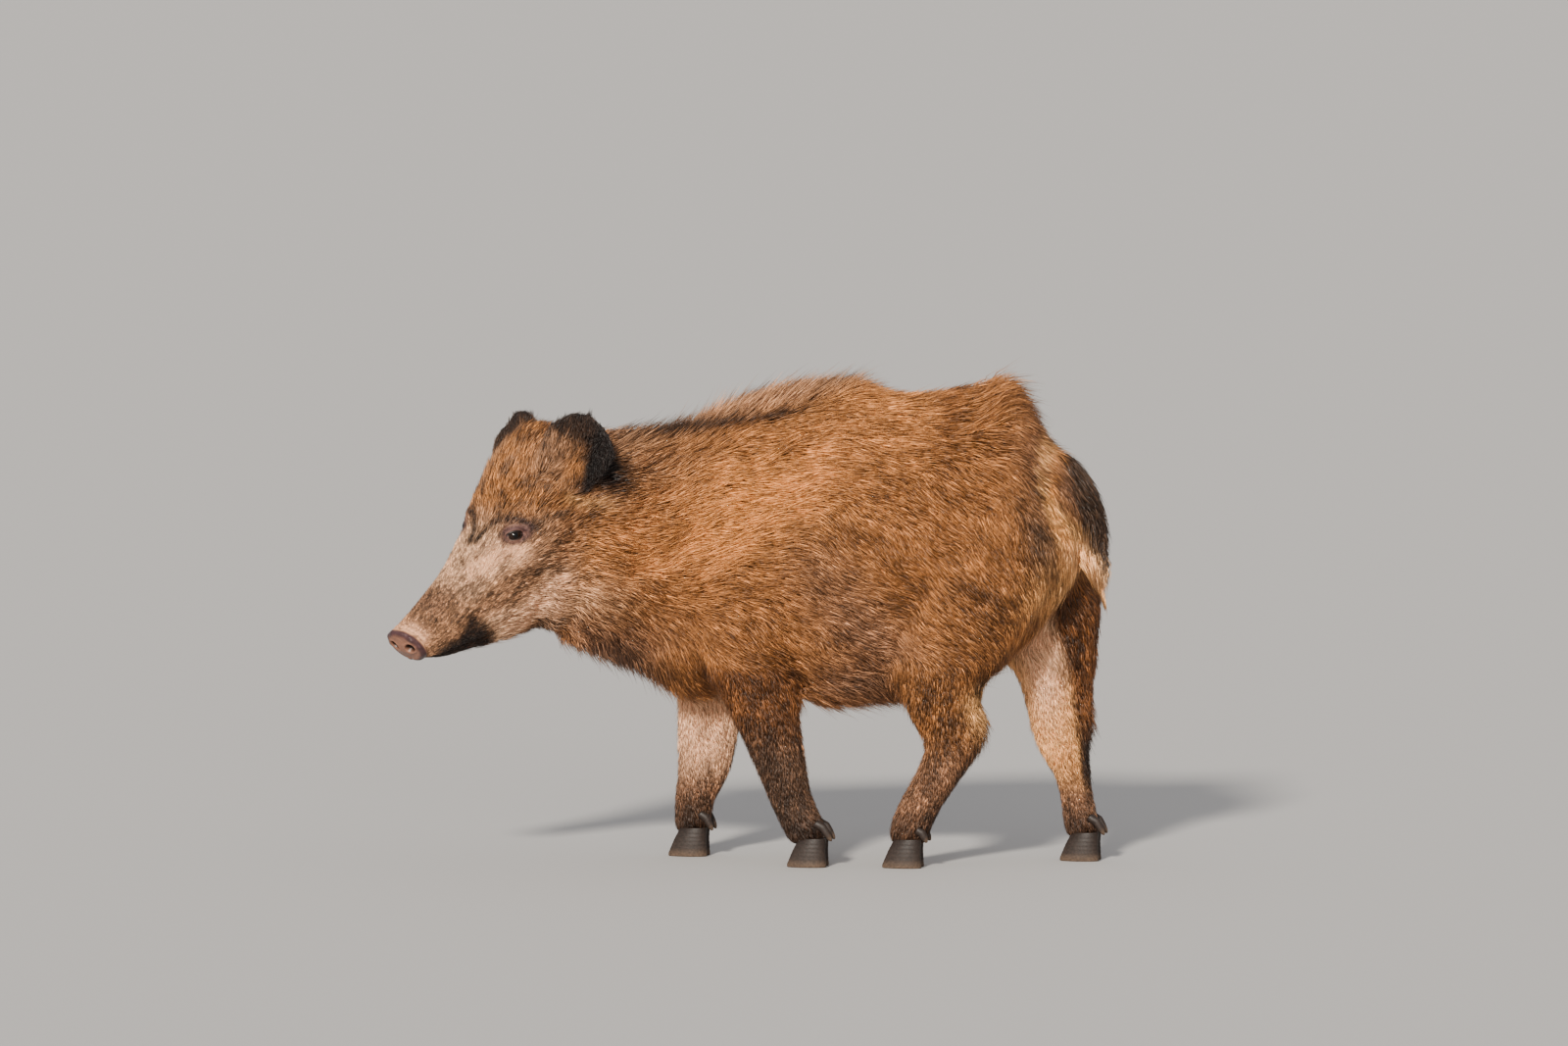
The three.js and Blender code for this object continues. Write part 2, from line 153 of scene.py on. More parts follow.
@dataclass(frozen=True)
class BodyFrame:
    """Body directions: x to the rear, y to the right side, z up, from a point on the floor under the shoulder."""

    origin: Array
    turn_start: float = -0.050  # where the neck starts to turn to the left
    turn_end: float = -0.260
    turn: float = 50.0  # degrees at the nape

    @staticmethod
    def make() -> "BodyFrame":
        """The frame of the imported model, set from its trunk and tail."""
        trunk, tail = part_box(Part.TRUNK.value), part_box(Part.TAIL.value)
        return BodyFrame(np.array([trunk[0][0] + 0.07485, (tail[0][1] + tail[1][1]) / 2, 0.0]))

    def local(self, points: Array) -> Array:
        """World points in body directions."""
        return points - self.origin

    def world(self, points: Array) -> Array:
        """Body points in the world."""
        return points + self.origin

    def rearward(self, x: Array) -> Array:
        """The direction along the spine toward the tail.

        Args:
            x: places along the body, metres.

        Returns:
            One level unit vector for each place.
        """
        angle = np.radians(self.turn) * smooth(x, self.turn_start, self.turn_end)
        return np.stack([np.cos(angle), np.sin(angle), np.zeros_like(angle)], axis=-1)


@dataclass(frozen=True)
class HeadFrame:
    """Head directions: back from the face of the snout disc, out to the left, and up off the brow."""

    origin: Array  # midway between the eyes
    forward: Array
    left: Array
    dorsal: Array
    eye_back: float = 0.208

    @staticmethod
    def make(yaw: float = 50.0, pitch: float = 44.5, roll: float = 8.0) -> "HeadFrame":
        """The head's frame, from the eyes and the turn of the head.

        Args:
            yaw: turn to the left, degrees.
            pitch: how far the snout points down.
            roll: lean of the crown.

        Returns:
            The frame.
        """
        ends = [np.array(c) for side in ("left", "right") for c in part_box(f"eye_{side}")]
        a, b, r = math.radians(yaw), math.radians(pitch), math.radians(roll)
        forward = np.array([-math.cos(a) * math.cos(b), -math.sin(a) * math.cos(b), -math.sin(b)])
        level = np.array([math.sin(a), -math.cos(a), 0.0])
        crown = np.cross(forward, level)
        left = level * math.cos(r) - crown * math.sin(r)
        dorsal = crown * math.cos(r) + level * math.sin(r)
        return HeadFrame(np.mean(ends, axis=0), forward, left, dorsal)

    def local(self, points: Array) -> Array:
        """World points as back, left and up."""
        rel = points - self.origin
        return np.stack([self.eye_back - rel @ self.forward, rel @ self.left, rel @ self.dorsal], axis=-1)

    def world(self, points: Array) -> Array:
        """Points given as back, left and up, in the world."""
        p = np.asarray(points, dtype=float)
        return (
            self.origin
            + np.outer(self.eye_back - p[..., 0].ravel(), self.forward).reshape(p.shape)
            + np.outer(p[..., 1].ravel(), self.left).reshape(p.shape)
            + np.outer(p[..., 2].ravel(), self.dorsal).reshape(p.shape)
        )

    def way(self, back: Array, left: Array, up: Array) -> Array:
        """World directions from their parts back, left and up."""
        return (
            -np.multiply.outer(back, self.forward)
            + np.multiply.outer(left, self.left)
            + np.multiply.outer(up, self.dorsal)
        )


# ---- surfaces as arrays ---------------------------------------------------------------------------------------


@dataclass
class Surface:
    """A triangle mesh held as arrays."""

    co: Array
    tri: Array

    def edges(self) -> Array:
        """Each edge once, lower vertex first."""
        e = np.concatenate([self.tri[:, [0, 1]], self.tri[:, [1, 2]], self.tri[:, [2, 0]]])
        e.sort(axis=1)
        key = np.unique(e[:, 0].astype(np.int64) * len(self.co) + e[:, 1])
        return np.stack([key // len(self.co), key % len(self.co)], axis=1)

    def ties(self) -> tuple[Array, Array]:
        """Each edge from both its ends: where it starts, and where it leads."""
        edge = self.edges()
        return np.concatenate([edge[:, 0], edge[:, 1]]), np.concatenate([edge[:, 1], edge[:, 0]])

    def face_cross(self) -> Array:
        """Face normals, twice the area long."""
        a, b, c = (self.co[self.tri[:, k]] for k in range(3))
        return np.cross(b - a, c - a)

    def normals(self) -> Array:
        """Vertex normals, weighted by area."""
        cross = self.face_cross()
        out = np.zeros_like(self.co)
        for axis in range(3):
            for k in range(3):
                out[:, axis] += np.bincount(self.tri[:, k], cross[:, axis], len(self.co))
        return unit(out)

    def blur(self, values: Array, rounds: int, share: float = 0.5, hold: Array | None = None) -> Array:
        """Evens a field out over the mesh.

        Args:
            values: one row for each vertex.
            rounds: how many passes.
            share: how far each pass moves toward the neighbours' mean.
            hold: 1 where the field may move, 0 where it stays; the default lets all move.

        Returns:
            The evened field.
        """
        a, b = self.ties()
        n = len(self.co)
        count = np.maximum(np.bincount(a, minlength=n), 1)
        out = values.astype(float).reshape(n, -1).copy()
        move = share if hold is None else share * hold
        for _ in range(rounds):
            for k in range(out.shape[1]):
                mean = np.bincount(a, out[b, k], n) / count
                out[:, k] += (mean - out[:, k]) * move
        return out.reshape(values.shape)

    def comb(self, values: Array, way: Array, rounds: int, sharp: float = 6.0) -> Array:
        """Draws a field out along the lie of the coat, which turns noise into streaks.

        Args:
            values: one number for each vertex.
            way: the lie of the coat at each vertex.
            rounds: how many passes, so how long the streaks are.
            sharp: how closely they keep to the lie.

        Returns:
            The streaks, with mean 0 and deviation 1.
        """
        a, b = self.ties()
        weight = np.abs(dot(unit(self.co[b] - self.co[a]), way[a])) ** sharp + 1e-4
        n = len(self.co)
        total = np.bincount(a, weight, n) + 1e-9
        out = values.astype(float).copy()
        for _ in range(rounds):
            out = 0.4 * out + 0.6 * np.bincount(a, weight * out[b], n) / total
        return (out - out.mean()) / out.std()

    def split(self, chosen: Array) -> "Surface":
        """Quarters the chosen triangles, and halves their neighbours to match.

        Args:
            chosen: which triangles are quartered.

        Returns:
            The finer mesh, with the old vertices first.
        """
        n = len(self.co)
        ends = np.stack([self.tri[:, [0, 1]], self.tri[:, [1, 2]], self.tri[:, [2, 0]]], axis=1)
        ends = np.sort(ends, axis=2).astype(np.int64)
        key = ends[..., 0] * n + ends[..., 1]
        cut = np.unique(key[chosen])
        at = np.searchsorted(cut, key)
        at_safe = np.minimum(at, len(cut) - 1)
        is_cut = cut[at_safe] == key
        mid = np.where(is_cut, n + at_safe, -1)
        co = np.concatenate([self.co, (self.co[cut // n] + self.co[cut % n]) / 2])
        count = is_cut.sum(axis=1)
        made = [self.tri[count == 0]]
        t, m = self.tri[count == 3], mid[count == 3]
        made += [
            np.stack([t[:, 0], m[:, 0], m[:, 2]], 1),
            np.stack([m[:, 0], t[:, 1], m[:, 1]], 1),
            np.stack([m[:, 2], m[:, 1], t[:, 2]], 1),
            m.copy(),
        ]
        for k in range(3):  # one cut edge: k to k + 1
            pick = (count == 1) & is_cut[:, k]
            a, b, c = (self.tri[pick, (k + j) % 3] for j in range(3))
            x = mid[pick, k]
            made += [np.stack([a, x, c], 1), np.stack([x, b, c], 1)]
        for k in range(3):  # two cut edges: all but k
            pick = (count == 2) & ~is_cut[:, k]
            a, b, c = (self.tri[pick, (k + j) % 3] for j in range(3))
            x, y = mid[pick, (k + 1) % 3], mid[pick, (k + 2) % 3]
            made += [np.stack([a, b, x], 1), np.stack([a, x, y], 1), np.stack([y, x, c], 1)]
        return Surface(co, np.concatenate(made))

    @staticmethod
    def of_object(obj: bpy.types.Object) -> "Surface":
        """The evaluated mesh of an object, in the world."""
        shown = obj.evaluated_get(bpy.context.evaluated_depsgraph_get())
        mesh = shown.to_mesh()
        mesh.calc_loop_triangles()
        co = np.empty(len(mesh.vertices) * 3)
        mesh.vertices.foreach_get("co", co)
        tri = np.empty(len(mesh.loop_triangles) * 3, dtype=np.int64)
        mesh.loop_triangles.foreach_get("vertices", tri)
        shown.to_mesh_clear()
        turn = np.array(obj.matrix_world)
        return Surface(co.reshape(-1, 3) @ turn[:3, :3].T + turn[:3, 3], tri.reshape(-1, 3))

    def welded(self) -> "Surface":
        """The same surface with vertices at one place made one."""
        _, first, back = np.unique(np.round(self.co / (0.02 * MM)).astype(np.int64), axis=0, return_index=True,
                                   return_inverse=True)
        tri = back.reshape(-1)[self.tri]
        whole = (tri[:, 0] != tri[:, 1]) & (tri[:, 1] != tri[:, 2]) & (tri[:, 2] != tri[:, 0])
        return Surface(self.co[first], tri[whole])

    def largest(self) -> "Surface":
        """The largest connected piece, without loose ones."""
        tri = self.tri[largest_piece(self.tri, len(self.co))]
        used, back = np.unique(tri, return_inverse=True)
        return Surface(self.co[used], back.reshape(-1, 3))

    def hole(self, inside: Array) -> tuple[Array, Array]:
        """Plans a hole whose rim is one clean loop.

        Args:
            inside: which vertices the hole takes away.

        Returns:
            Which triangles are cut away, and the rim's vertices in order.
        """
        n = len(self.co)
        gone = inside[self.tri].any(axis=1)
        taken = np.flatnonzero(gone)
        gone[taken[~largest_piece(self.tri[taken], n)]] = False
        left = np.flatnonzero(~gone)
        gone[left[~largest_piece(self.tri[left], n)]] = True
        while True:
            cut = self.tri[gone]
            ends = np.concatenate([cut[:, [0, 1]], cut[:, [1, 2]], cut[:, [2, 0]]])
            key = ends.min(axis=1).astype(np.int64) * n + ends.max(axis=1)
            _, back, count = np.unique(key, return_inverse=True, return_counts=True)
            ends = ends[count[back.reshape(-1)] == 1]
            meet = np.bincount(ends.ravel(), minlength=n)
            more = ~gone & ((meet[self.tri] > 0).all(axis=1) | (meet[self.tri] > 2).any(axis=1))
            if not more.any():
                break
            gone |= more
        follow = dict(ends.tolist())
        loop = [int(ends[0, 0])]
        while follow[loop[-1]] != loop[0]:
            loop.append(follow[loop[-1]])
        return gone, np.array(loop)

    def tree(self) -> BVHTree:
        """A search tree over the triangles."""
        return BVHTree.FromPolygons(self.co.tolist(), self.tri.tolist())


def largest_piece(tri: Array, count: int) -> Array:
    """Finds the largest connected piece of a mesh.

    Args:
        tri: the triangles.
        count: how many vertices there are.

    Returns:
        Which triangles belong to it.
    """
    label = np.arange(count)
    while True:
        low = label[tri].min(axis=1)
        new = label.copy()
        for k in range(3):
            np.minimum.at(new, tri[:, k], low)
        new = new[new]
        if (new == label).all():
            break
        label = new
    owner = label[tri[:, 0]]
    return owner == np.bincount(owner).argmax()


def zip_rings(turn_a: Array, ring_a: Array, turn_b: Array, ring_b: Array) -> Array:
    """Joins two rings of vertices, each sorted by its angle, with a band of triangles.

    Args:
        turn_a: angles of the inner ring.
        ring_a: its vertices.
        turn_b: angles of the outer ring.
        ring_b: its vertices.

    Returns:
        The triangles.
    """
    i, j, out = 0, int(np.argmin(np.abs(turn_b - turn_a[0]))), []
    n, m = len(ring_a), len(ring_b)
    start, steps_b = j, 0
    base = turn_a[0]

    def ahead(turn: float, lap: int) -> float:
        """Angle gone through since the start."""
        return turn - base + 2 * math.pi * lap

    while i < n or steps_b < m:
        next_a = ahead(turn_a[(i + 1) % n], (i + 1) // n) if i < n else math.inf
        k = start + steps_b + 1
        next_b = ahead(turn_b[k % m], k // m) if steps_b < m else math.inf
        a, b = ring_a[i % n], ring_b[(start + steps_b) % m]
        if next_a <= next_b:
            out.append((a, b, ring_a[(i + 1) % n]))
            i += 1
        else:
            out.append((a, b, ring_b[k % m]))
            steps_b += 1
    return np.array(out)


def ring_bands(rows: int, sides: int) -> Array:
    """Bands of triangles between closed rings that follow one another.

    Args:
        rows: how many rings there are.
        sides: how many vertices each has.

    Returns:
        The triangles, band after band.
    """
    k = np.arange(sides)
    nxt = (k + 1) % sides
    made = []
    for a in range(0, (rows - 1) * sides, sides):
        b = a + sides
        made += [np.stack([a + k, b + k, b + nxt], 1), np.stack([a + k, b + nxt, a + nxt], 1)]
    return np.concatenate(made)


def closed_rings(rings: Array, ends: Array) -> Surface:
    """Closes a stack of rings with a point at either end, facing outward.

    Args:
        rings: the points of each ring.
        ends: the point beyond the first ring and the one beyond the last.

    Returns:
        The closed surface.
    """
    rows, sides = rings.shape[:2]
    count, last, k = rows * sides, (rows - 1) * sides, np.arange(sides)
    nxt = (k + 1) % sides
    top = np.stack([np.full_like(k, count), k, nxt], 1)
    foot = np.stack([np.full_like(k, count + 1), last + nxt, last + k], 1)
    whole = Surface(np.concatenate([rings.reshape(-1, 3), ends]), np.concatenate([ring_bands(rows, sides), top, foot]))
    if dot(whole.face_cross(), whole.co[whole.tri].mean(axis=1) - whole.co.mean(axis=0)).sum() < 0:
        whole.tri = whole.tri[:, ::-1]
    return whole


def note(obj: bpy.types.Object, name: str, values: Array) -> None:
    """Keeps a named number for each vertex, for the material to read."""
    obj.data.attributes.new(name, "FLOAT", "POINT").data.foreach_set("value", values.astype(np.float32))


def mesh_object(name: str, surface: Surface, colour: Array | None = None) -> bpy.types.Object:
    """Makes a smooth-shaded object from arrays.

    Args:
        name: the piece's name.
        surface: its shape.
        colour: red, green and blue for each vertex, or None.

    Returns:
        The new object, linked to the scene.
    """
    mesh = bpy.data.meshes.new(name)
    mesh.vertices.add(len(surface.co))
    mesh.vertices.foreach_set("co", surface.co.astype(np.float32).ravel())
    mesh.loops.add(surface.tri.size)
    mesh.loops.foreach_set("vertex_index", surface.tri.astype(np.int32).ravel())
    mesh.polygons.add(len(surface.tri))
    mesh.polygons.foreach_set("loop_start", np.arange(0, surface.tri.size, 3, dtype=np.int32))
    mesh.polygons.foreach_set("use_smooth", np.ones(len(surface.tri), dtype=bool))
    mesh.update(calc_edges=True)
    if colour is not None:
        layer = mesh.color_attributes.new(HAIR, "FLOAT_COLOR", "POINT")
        rgba = np.ones((len(surface.co), 4), dtype=np.float32)
        rgba[:, :3] = colour
        layer.data.foreach_set("color", rgba.ravel())
    mesh.validate()
    obj = bpy.data.objects.new(name, mesh)
    bpy.context.scene.collection.objects.link(obj)
    return obj


def along_path(points: Array, path: tuple[tuple[float, ...], ...]) -> tuple[Array, Array]:
    """How near points lie to a drawn line.

    Args:
        points: places, one row each.
        path: the corners of the line, in the same units.

    Returns:
        The distance to the line, and how far along it the nearest place is, 0 to 1.
    """
    corner = np.array(path, dtype=float)
    run = np.linalg.norm(np.diff(corner, axis=0), axis=1)
    start = np.concatenate([[0.0], np.cumsum(run)])
    best, where = np.full(len(points), np.inf), np.zeros(len(points))
    for k in range(len(run)):
        step = corner[k + 1] - corner[k]
        t = np.clip((points - corner[k]) @ step / run[k] ** 2, 0, 1)
        far = np.linalg.norm(points - corner[k] - t[:, None] * step, axis=1)
        nearer = far < best
        best[nearer] = far[nearer]
        where[nearer] = (start[k] + t[nearer] * run[k]) / start[-1]
    return best, where


# ---- the lie and make of the coat -----------------------------------------------------------------------------


@dataclass(frozen=True)
class Lay:
    """How the coat grows at one place: millimetres, degrees off the skin, and tufts to a square centimetre."""

    depth: float
    length: float
    width: float
    lift: float
    density: float
    frizz: float = 0.25

    def row(self) -> Array:
        """The six numbers as an array."""
        return np.array([self.depth, self.length, self.width, self.lift, self.density, self.frizz])


DEPTH, LENGTH, WIDTH, LIFT, DENSITY, FRIZZ = range(6)

PART_LAY = {
    Part.TRUNK: Lay(10, 32, 1.35, 16, 23, 0.26),
    Part.NECK: Lay(12, 35, 1.35, 20, 23, 0.34),
    Part.HEAD: Lay(6, 18, 1.1, 17, 28, 0.30),
    Part.DISC: Lay(0, 1, 0.5, 10, 0, 0.1),
    Part.EAR_LEFT: Lay(1.2, 17, 0.9, 20, 42, 0.35),
    Part.EAR_RIGHT: Lay(1.2, 13, 0.9, 18, 42, 0.30),
    **{part: Lay(6, 19, 1.3, 15, 24, 0.25) for part in (*FORE_PARTS, *HIND_PARTS)},
    Part.TAIL: Lay(8, 40, 1.5, 12, 26, 0.25),
}

# The lie of the coat on trunk and neck, seen from the side: place x, z in millimetres, then rearward and up.
LIE = (
    (-230, 560, 1.0, 0.1), (-160, 580, 1.0, 0.15), (-90, 560, 1.0, 0.15), (-90, 480, 1.0, 0.05),
    (-160, 460, 1.0, -0.05), (-220, 420, 1.0, -0.2), (-160, 360, 1.0, -0.15), (-210, 320, 0.9, -0.5),
    (-110, 300, 0.7, -0.6), (-60, 380, 1.0, 0.25), (-60, 430, 1.0, 0.4), (-30, 450, 1.0, 0.5), (-20, 400, 1.0, 0.4),
    (-40, 540, 1.0, 0.2), (20, 520, 1.0, 0.25), (40, 465, 1.0, 0.12), (30, 420, 1.0, 0.2), (60, 390, 1.0, -0.3),
    (0, 640, 1.0, 0.5), (80, 650, 1.0, 0.5), (130, 640, 1.0, 0.3), (90, 560, 1.0, -0.05), (100, 500, 1.0, -0.35),
    (130, 450, 1.0, -0.65), (150, 560, 1.0, -0.2), (220, 625, 1.0, 0.0), (220, 560, 1.0, -0.35),
    (220, 450, 0.9, -0.75), (300, 560, 1.0, -0.4), (290, 640, 1.0, 0.3), (300, 450, 0.8, -0.8),
    (340, 650, 1.0, 0.6), (360, 540, 0.8, -0.6), (380, 440, 0.6, -0.8), (410, 560, 0.7, -0.7), (440, 500, 0.4, -0.9),
    (0, 330, 0.8, -0.5), (60, 320, 0.8, -0.6), (140, 340, 1.0, -0.5), (220, 340, 0.9, -0.6), (290, 330, 0.6, -0.8),
    (380, 330, 0.3, -1.0), (440, 380, 0.1, -1.0), (60, 235, 0.9, -0.35), (140, 220, 1.0, -0.15),
    (240, 240, 1.0, -0.3), (-60, 260, 0.5, -0.8),
)
LIE_REACH = 62.0  # how far each of these guides tells, millimetres

# How far back the coat leans as it runs down legs and tail.
LEAN = {Part.FORE_LEFT: 0.3, Part.FORE_RIGHT: 0.2, Part.HIND_LEFT: 0.1, Part.HIND_RIGHT: 0.25, Part.TAIL: 0.3}

# The long way of an ear and the way across it, as back, out and up on the head.
EAR_LENGTHWAYS, EAR_ACROSS = (0.857, 0.08, 0.514), (0.394, 0.643, -0.656)


@dataclass(frozen=True)
class Mark:
    """A soft patch on trunk, neck or thigh, the same on either side: place, half axes, slope and its two tones."""

    name: str
    x: float
    z: float
    long: float
    high: float
    slope: float
    root: Tone
    tip: Tone
    strength: float = 1.0

    def weight(self, x: Array, z: Array) -> Array:
        """How strongly the mark shows at places given in metres."""
        a = math.radians(self.slope)
        dx, dz = x / MM - self.x, z / MM - self.z
        along, off = dx * math.cos(a) + dz * math.sin(a), dz * math.cos(a) - dx * math.sin(a)
        return self.strength * np.exp(-((along / self.long) ** 2) - (off / self.high) ** 2)


BODY_MARKS = (
    Mark("neck grey", -150, 535, 80, 60, 0, Tone.SMOKE, Tone.ASH, 0.7),
    Mark("neck side", -110, 440, 80, 60, 0, Tone.RUST, Tone.SAND, 0.6),
    Mark("jowl", -195, 350, 55, 35, 0, Tone.GREY, Tone.PALE, 0.4),
    Mark("under jaw", -178, 284, 70, 26, -37, Tone.BLACK, Tone.MAUVE, 0.9),
    Mark("throat", -150, 275, 95, 40, 15, Tone.SABLE, Tone.MAUVE, 0.95),
    Mark("chest", -50, 262, 60, 60, 0, Tone.UMBER, Tone.GOLD, 0.9),
    Mark("shoulder light", 25, 480, 85, 55, 30, Tone.TAN, Tone.AMBER, 1.0),
    Mark("lower shoulder", -20, 350, 60, 60, 0, Tone.UMBER, Tone.GOLD, 0.7),
    Mark("back tan", 150, 590, 120, 45, -5, Tone.RUST, Tone.SAND, 0.9),
    Mark("side", 130, 480, 90, 50, 0, Tone.UMBER, Tone.SAND, 0.4),
    Mark("loin", 270, 585, 70, 45, -15, Tone.UMBER, Tone.SAND, 0.6),
    Mark("rib shade", 118, 390, 70, 42, -40, Tone.SMOKE, Tone.MAUVE, 0.5),
    Mark("flank shade", 178, 305, 90, 48, -38, Tone.SABLE, Tone.MAUVE, 0.85),
    Mark("belly", 150, 235, 110, 42, 0, Tone.BLACK, Tone.MAUVE, 0.9),
    Mark("elbow", 65, 245, 45, 45, 0, Tone.UMBER, Tone.TAN, 0.7),
    Mark("rump", 330, 520, 75, 60, -30, Tone.SABLE, Tone.TAN, 0.6),
    # painted shadow beside the root of the tail
    Mark("rump shade", 395, 545, 34, 60, 20, Tone.SABLE, Tone.MAUVE, 0.8),
    Mark("haunch rear", 425, 430, 22, 60, 0, Tone.SABLE, Tone.GREY, 0.7),
    # painted shadow on the buttock beside the tail
    Mark("buttock shade", 399, 438, 22, 56, 12, Tone.BLACK, Tone.GREY, 0.9),
    Mark("thigh", 310, 350, 80, 60, 0, Tone.SABLE, Tone.GOLD, 0.75),
    # pale hair at the rear of the thighs, painted paler still as if sunlit
    Mark("buttock cream and painted sun", 425, 345, 36, 40, 0, Tone.RUST, Tone.CREAM, 0.8),
)


TAIL_LINE = ((330, 354, 378, 411, 447, 470, 500), (474, 466, 456, 444, 430, 418, 404))  # levels, then places back


@dataclass
class Coat:
    """Fields over the skin that the tufts are grown from."""

    lay: Array  # six numbers for each vertex, as Lay gives them
    way: Array  # the lie of the coat, along the skin
    root: Array  # colour at the root
    tip: Array  # colour at the tip
    group: Array  # which coat piece each vertex belongs to


# ---- the eyes -------------------------------------------------------------------------------------------------


@dataclass(frozen=True)
class EyePlan:
    """Where an eye sits and how its lids open."""

    side: float  # 1 left, -1 right
    centre: Array
    gaze: Array  # out of the head
    along: Array  # from the inner corner to the outer
    above: Array
    radius: float = 12.2 * MM
    long: float = 10.6 * MM  # half the length of the opening
    high_up: float = 4.0 * MM
    high_down: float = 5.4 * MM

    @staticmethod
    def make(head: HeadFrame, side: float, slope: float = -38.0) -> "EyePlan":
        """The plan of one eye.

        Args:
            head: the head's frame.
            side: 1 left, -1 right.
            slope: how the slit runs back and down the cheek, degrees.

        Returns:
            The plan.
        """
        low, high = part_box("eye_left" if side > 0 else "eye_right")
        gaze = unit(head.way(np.array(-0.24), np.array(0.86 * side), np.array(0.46)))
        a = math.radians(slope)
        along = head.way(np.array(math.cos(a)), np.array(0.0), np.array(math.sin(a)))
        along = unit(along - gaze * (along @ gaze))
        above = np.cross(gaze, along) * side
        deep = 3.4 if side > 0 else 5.4  # the right eye sits deeper
        centre = (np.array(low) + np.array(high)) / 2 + (along * 4.1 + above * 3.0 - gaze * deep) * MM
        return EyePlan(side, centre, gaze, along, above)

    def flat(self, points: Array) -> Array:
        """Points as along, above and out from the ball's centre."""
        rel = points - self.centre
        return np.stack([rel @ self.along, rel @ self.above, rel @ self.gaze], axis=-1)

    def solid(self, flat: Array) -> Array:
        """World points from along, above and out."""
        return (self.centre + flat[..., :1] * self.along + flat[..., 1:2] * self.above + flat[..., 2:3] * self.gaze)

    def rim(self, turns: Array, out: Array) -> Array:
        """The almond rim of the opening, moved outward.

        Args:
            turns: angles round the opening, from the outer corner over the top.
            out: how far outward, metres, one number or one for each angle.

        Returns:
            Two numbers for each angle: along and above.
        """
        c, s = np.cos(turns), np.sin(turns)
        a = self.long * c
        b = np.where(s > 0, self.high_up * np.abs(s) ** 0.9, -self.high_down * np.abs(s) ** 1.3 * (1 - 0.25 * c))
        return np.stack([a, b], axis=-1) + np.stack([c, s], axis=-1) * np.reshape(out, (-1, 1))


@dataclass
class Eyeball:
    """A wet dark eye: brown iris, wide pupil, domed cornea."""

    plan: EyePlan
    name: str
    rings: int = 40
    sides: int = 56
    iris: float = 7.4 * MM
    dome: float = 1.0 * MM  # how far the cornea stands out of the ball

    def build(self) -> bpy.types.Object:
        """Makes the ball and replaces the solid."""
        t = np.linspace(0, math.pi, self.rings + 1)[1:-1]
        turn = np.linspace(0, 2 * math.pi, self.sides, endpoint=False)
        r = self.plan.radius
        off = r * np.sin(t)
        out = r * np.cos(t)
        dome = np.where(t < math.pi / 2, self.dome * smooth(off, self.iris, 0.0), 0.0)
        flat = np.stack([np.outer(off, np.cos(turn)), np.outer(off, np.sin(turn)),
                         np.repeat((out + dome)[:, None], self.sides, 1)], axis=-1)
        ends = np.array([[0, 0, r + self.dome], [0, 0, -r]])
        shape = closed_rings(self.plan.solid(flat), self.plan.solid(ends))
        ball = mesh_object(self.name, shape)
        far = np.repeat(off * (out > 0) + r * (out <= 0), self.sides)
        note(ball, "from_pupil", np.concatenate([far, [0.0, r]]) / MM)
        ball.data.materials.append(EyeFinish().material())
        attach(ball, ROOT)
        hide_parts(self.name)
        log.info("%s: %d triangles", self.name, len(shape.tri))
        return ball


# ---- hooves ----------------------------------------------------------------------------------------------------


@dataclass
class Claw:
    """A horn piece swept through rings of points; the kinds below shape it."""

    name: str
    sides: int = 44
    rows: int = 30

    def rings(self) -> tuple[Array, Array]:
        """Points of each ring, and how far down each ring is; each kind has its own."""
        raise NotImplementedError

    def build(self) -> bpy.types.Object:
        """Makes the piece and replaces the solid."""
        points, down = self.rings()
        shape = closed_rings(points, points[[0, -1]].mean(axis=1))
        horn = mesh_object(self.name, shape)
        note(horn, "down", np.concatenate([np.repeat(down, self.sides), down[[0, -1]]]))
        horn.data.materials.append(HornFinish().material())
        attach(horn, ROOT)
        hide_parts(self.name)
        log.info("%s: %d triangles", self.name, len(shape.tri))
        return horn


@dataclass
class Hoof(Claw):
    """A main claw: sloping toe wall with growth rings, flat inner side, rounded edge on the ground."""

    growth: float = 0.1 * MM  # depth of the growth rings
    heel: float = 0.58  # share of the length that lies before the widest place

    def rings(self) -> tuple[Array, Array]:
        """Rings from the coronet down to the sole, fitted to the solid's box."""
        low, high = (np.array(c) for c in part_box(self.name))
        other = self.name.replace("outer", "inner") if "outer" in self.name else self.name.replace("inner", "outer")
        mate = np.mean([np.array(c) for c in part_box(other)], axis=0)
        toward = math.copysign(1.0, mate[1] - (low[1] + high[1]) / 2)
        size = high - low
        t = np.linspace(0, 1, self.rows)  # 0 at the coronet, 1 on the ground
        long = np.interp(t, (0, 0.9, 0.97, 1), (0.68, 0.985, 0.99, 0.93))
        wide = np.interp(t, (0, 0.9, 0.97, 1), (0.80, 0.985, 0.98, 0.88))
        back = np.interp(t, (0, 0.4, 0.86, 1), (0.125, 0.05, 0.0, 0.0)) * size[0]
        turn = np.linspace(0, 2 * math.pi, self.sides, endpoint=False)
        c, s = np.cos(turn), np.sin(turn)
        toe = np.where(c > 0, 1 - 0.46 * c**2, 1)
        flat = np.where(s * toward > 0, 0.80, 1.0)
        ridge = self.growth * np.cos(t * 44) * smooth(t, 0.05, 0.2) * smooth(t, 0.98, 0.85)
        ahead = c * np.where(c > 0, self.heel, 1 - self.heel)
        x = low[0] + self.heel * size[0] + back[:, None] - np.outer(long, ahead) * size[0] - np.outer(ridge, c)
        y = (low[1] + high[1]) / 2 + np.outer(wide, s * toe * flat) * size[1] / 2 * 0.98 + np.outer(ridge, s)
        z = np.repeat((high[2] + 1.5 * MM + (low[2] - high[2] - 1.5 * MM) * t)[:, None], self.sides, 1)
        return np.stack([x, y, z], axis=-1), t


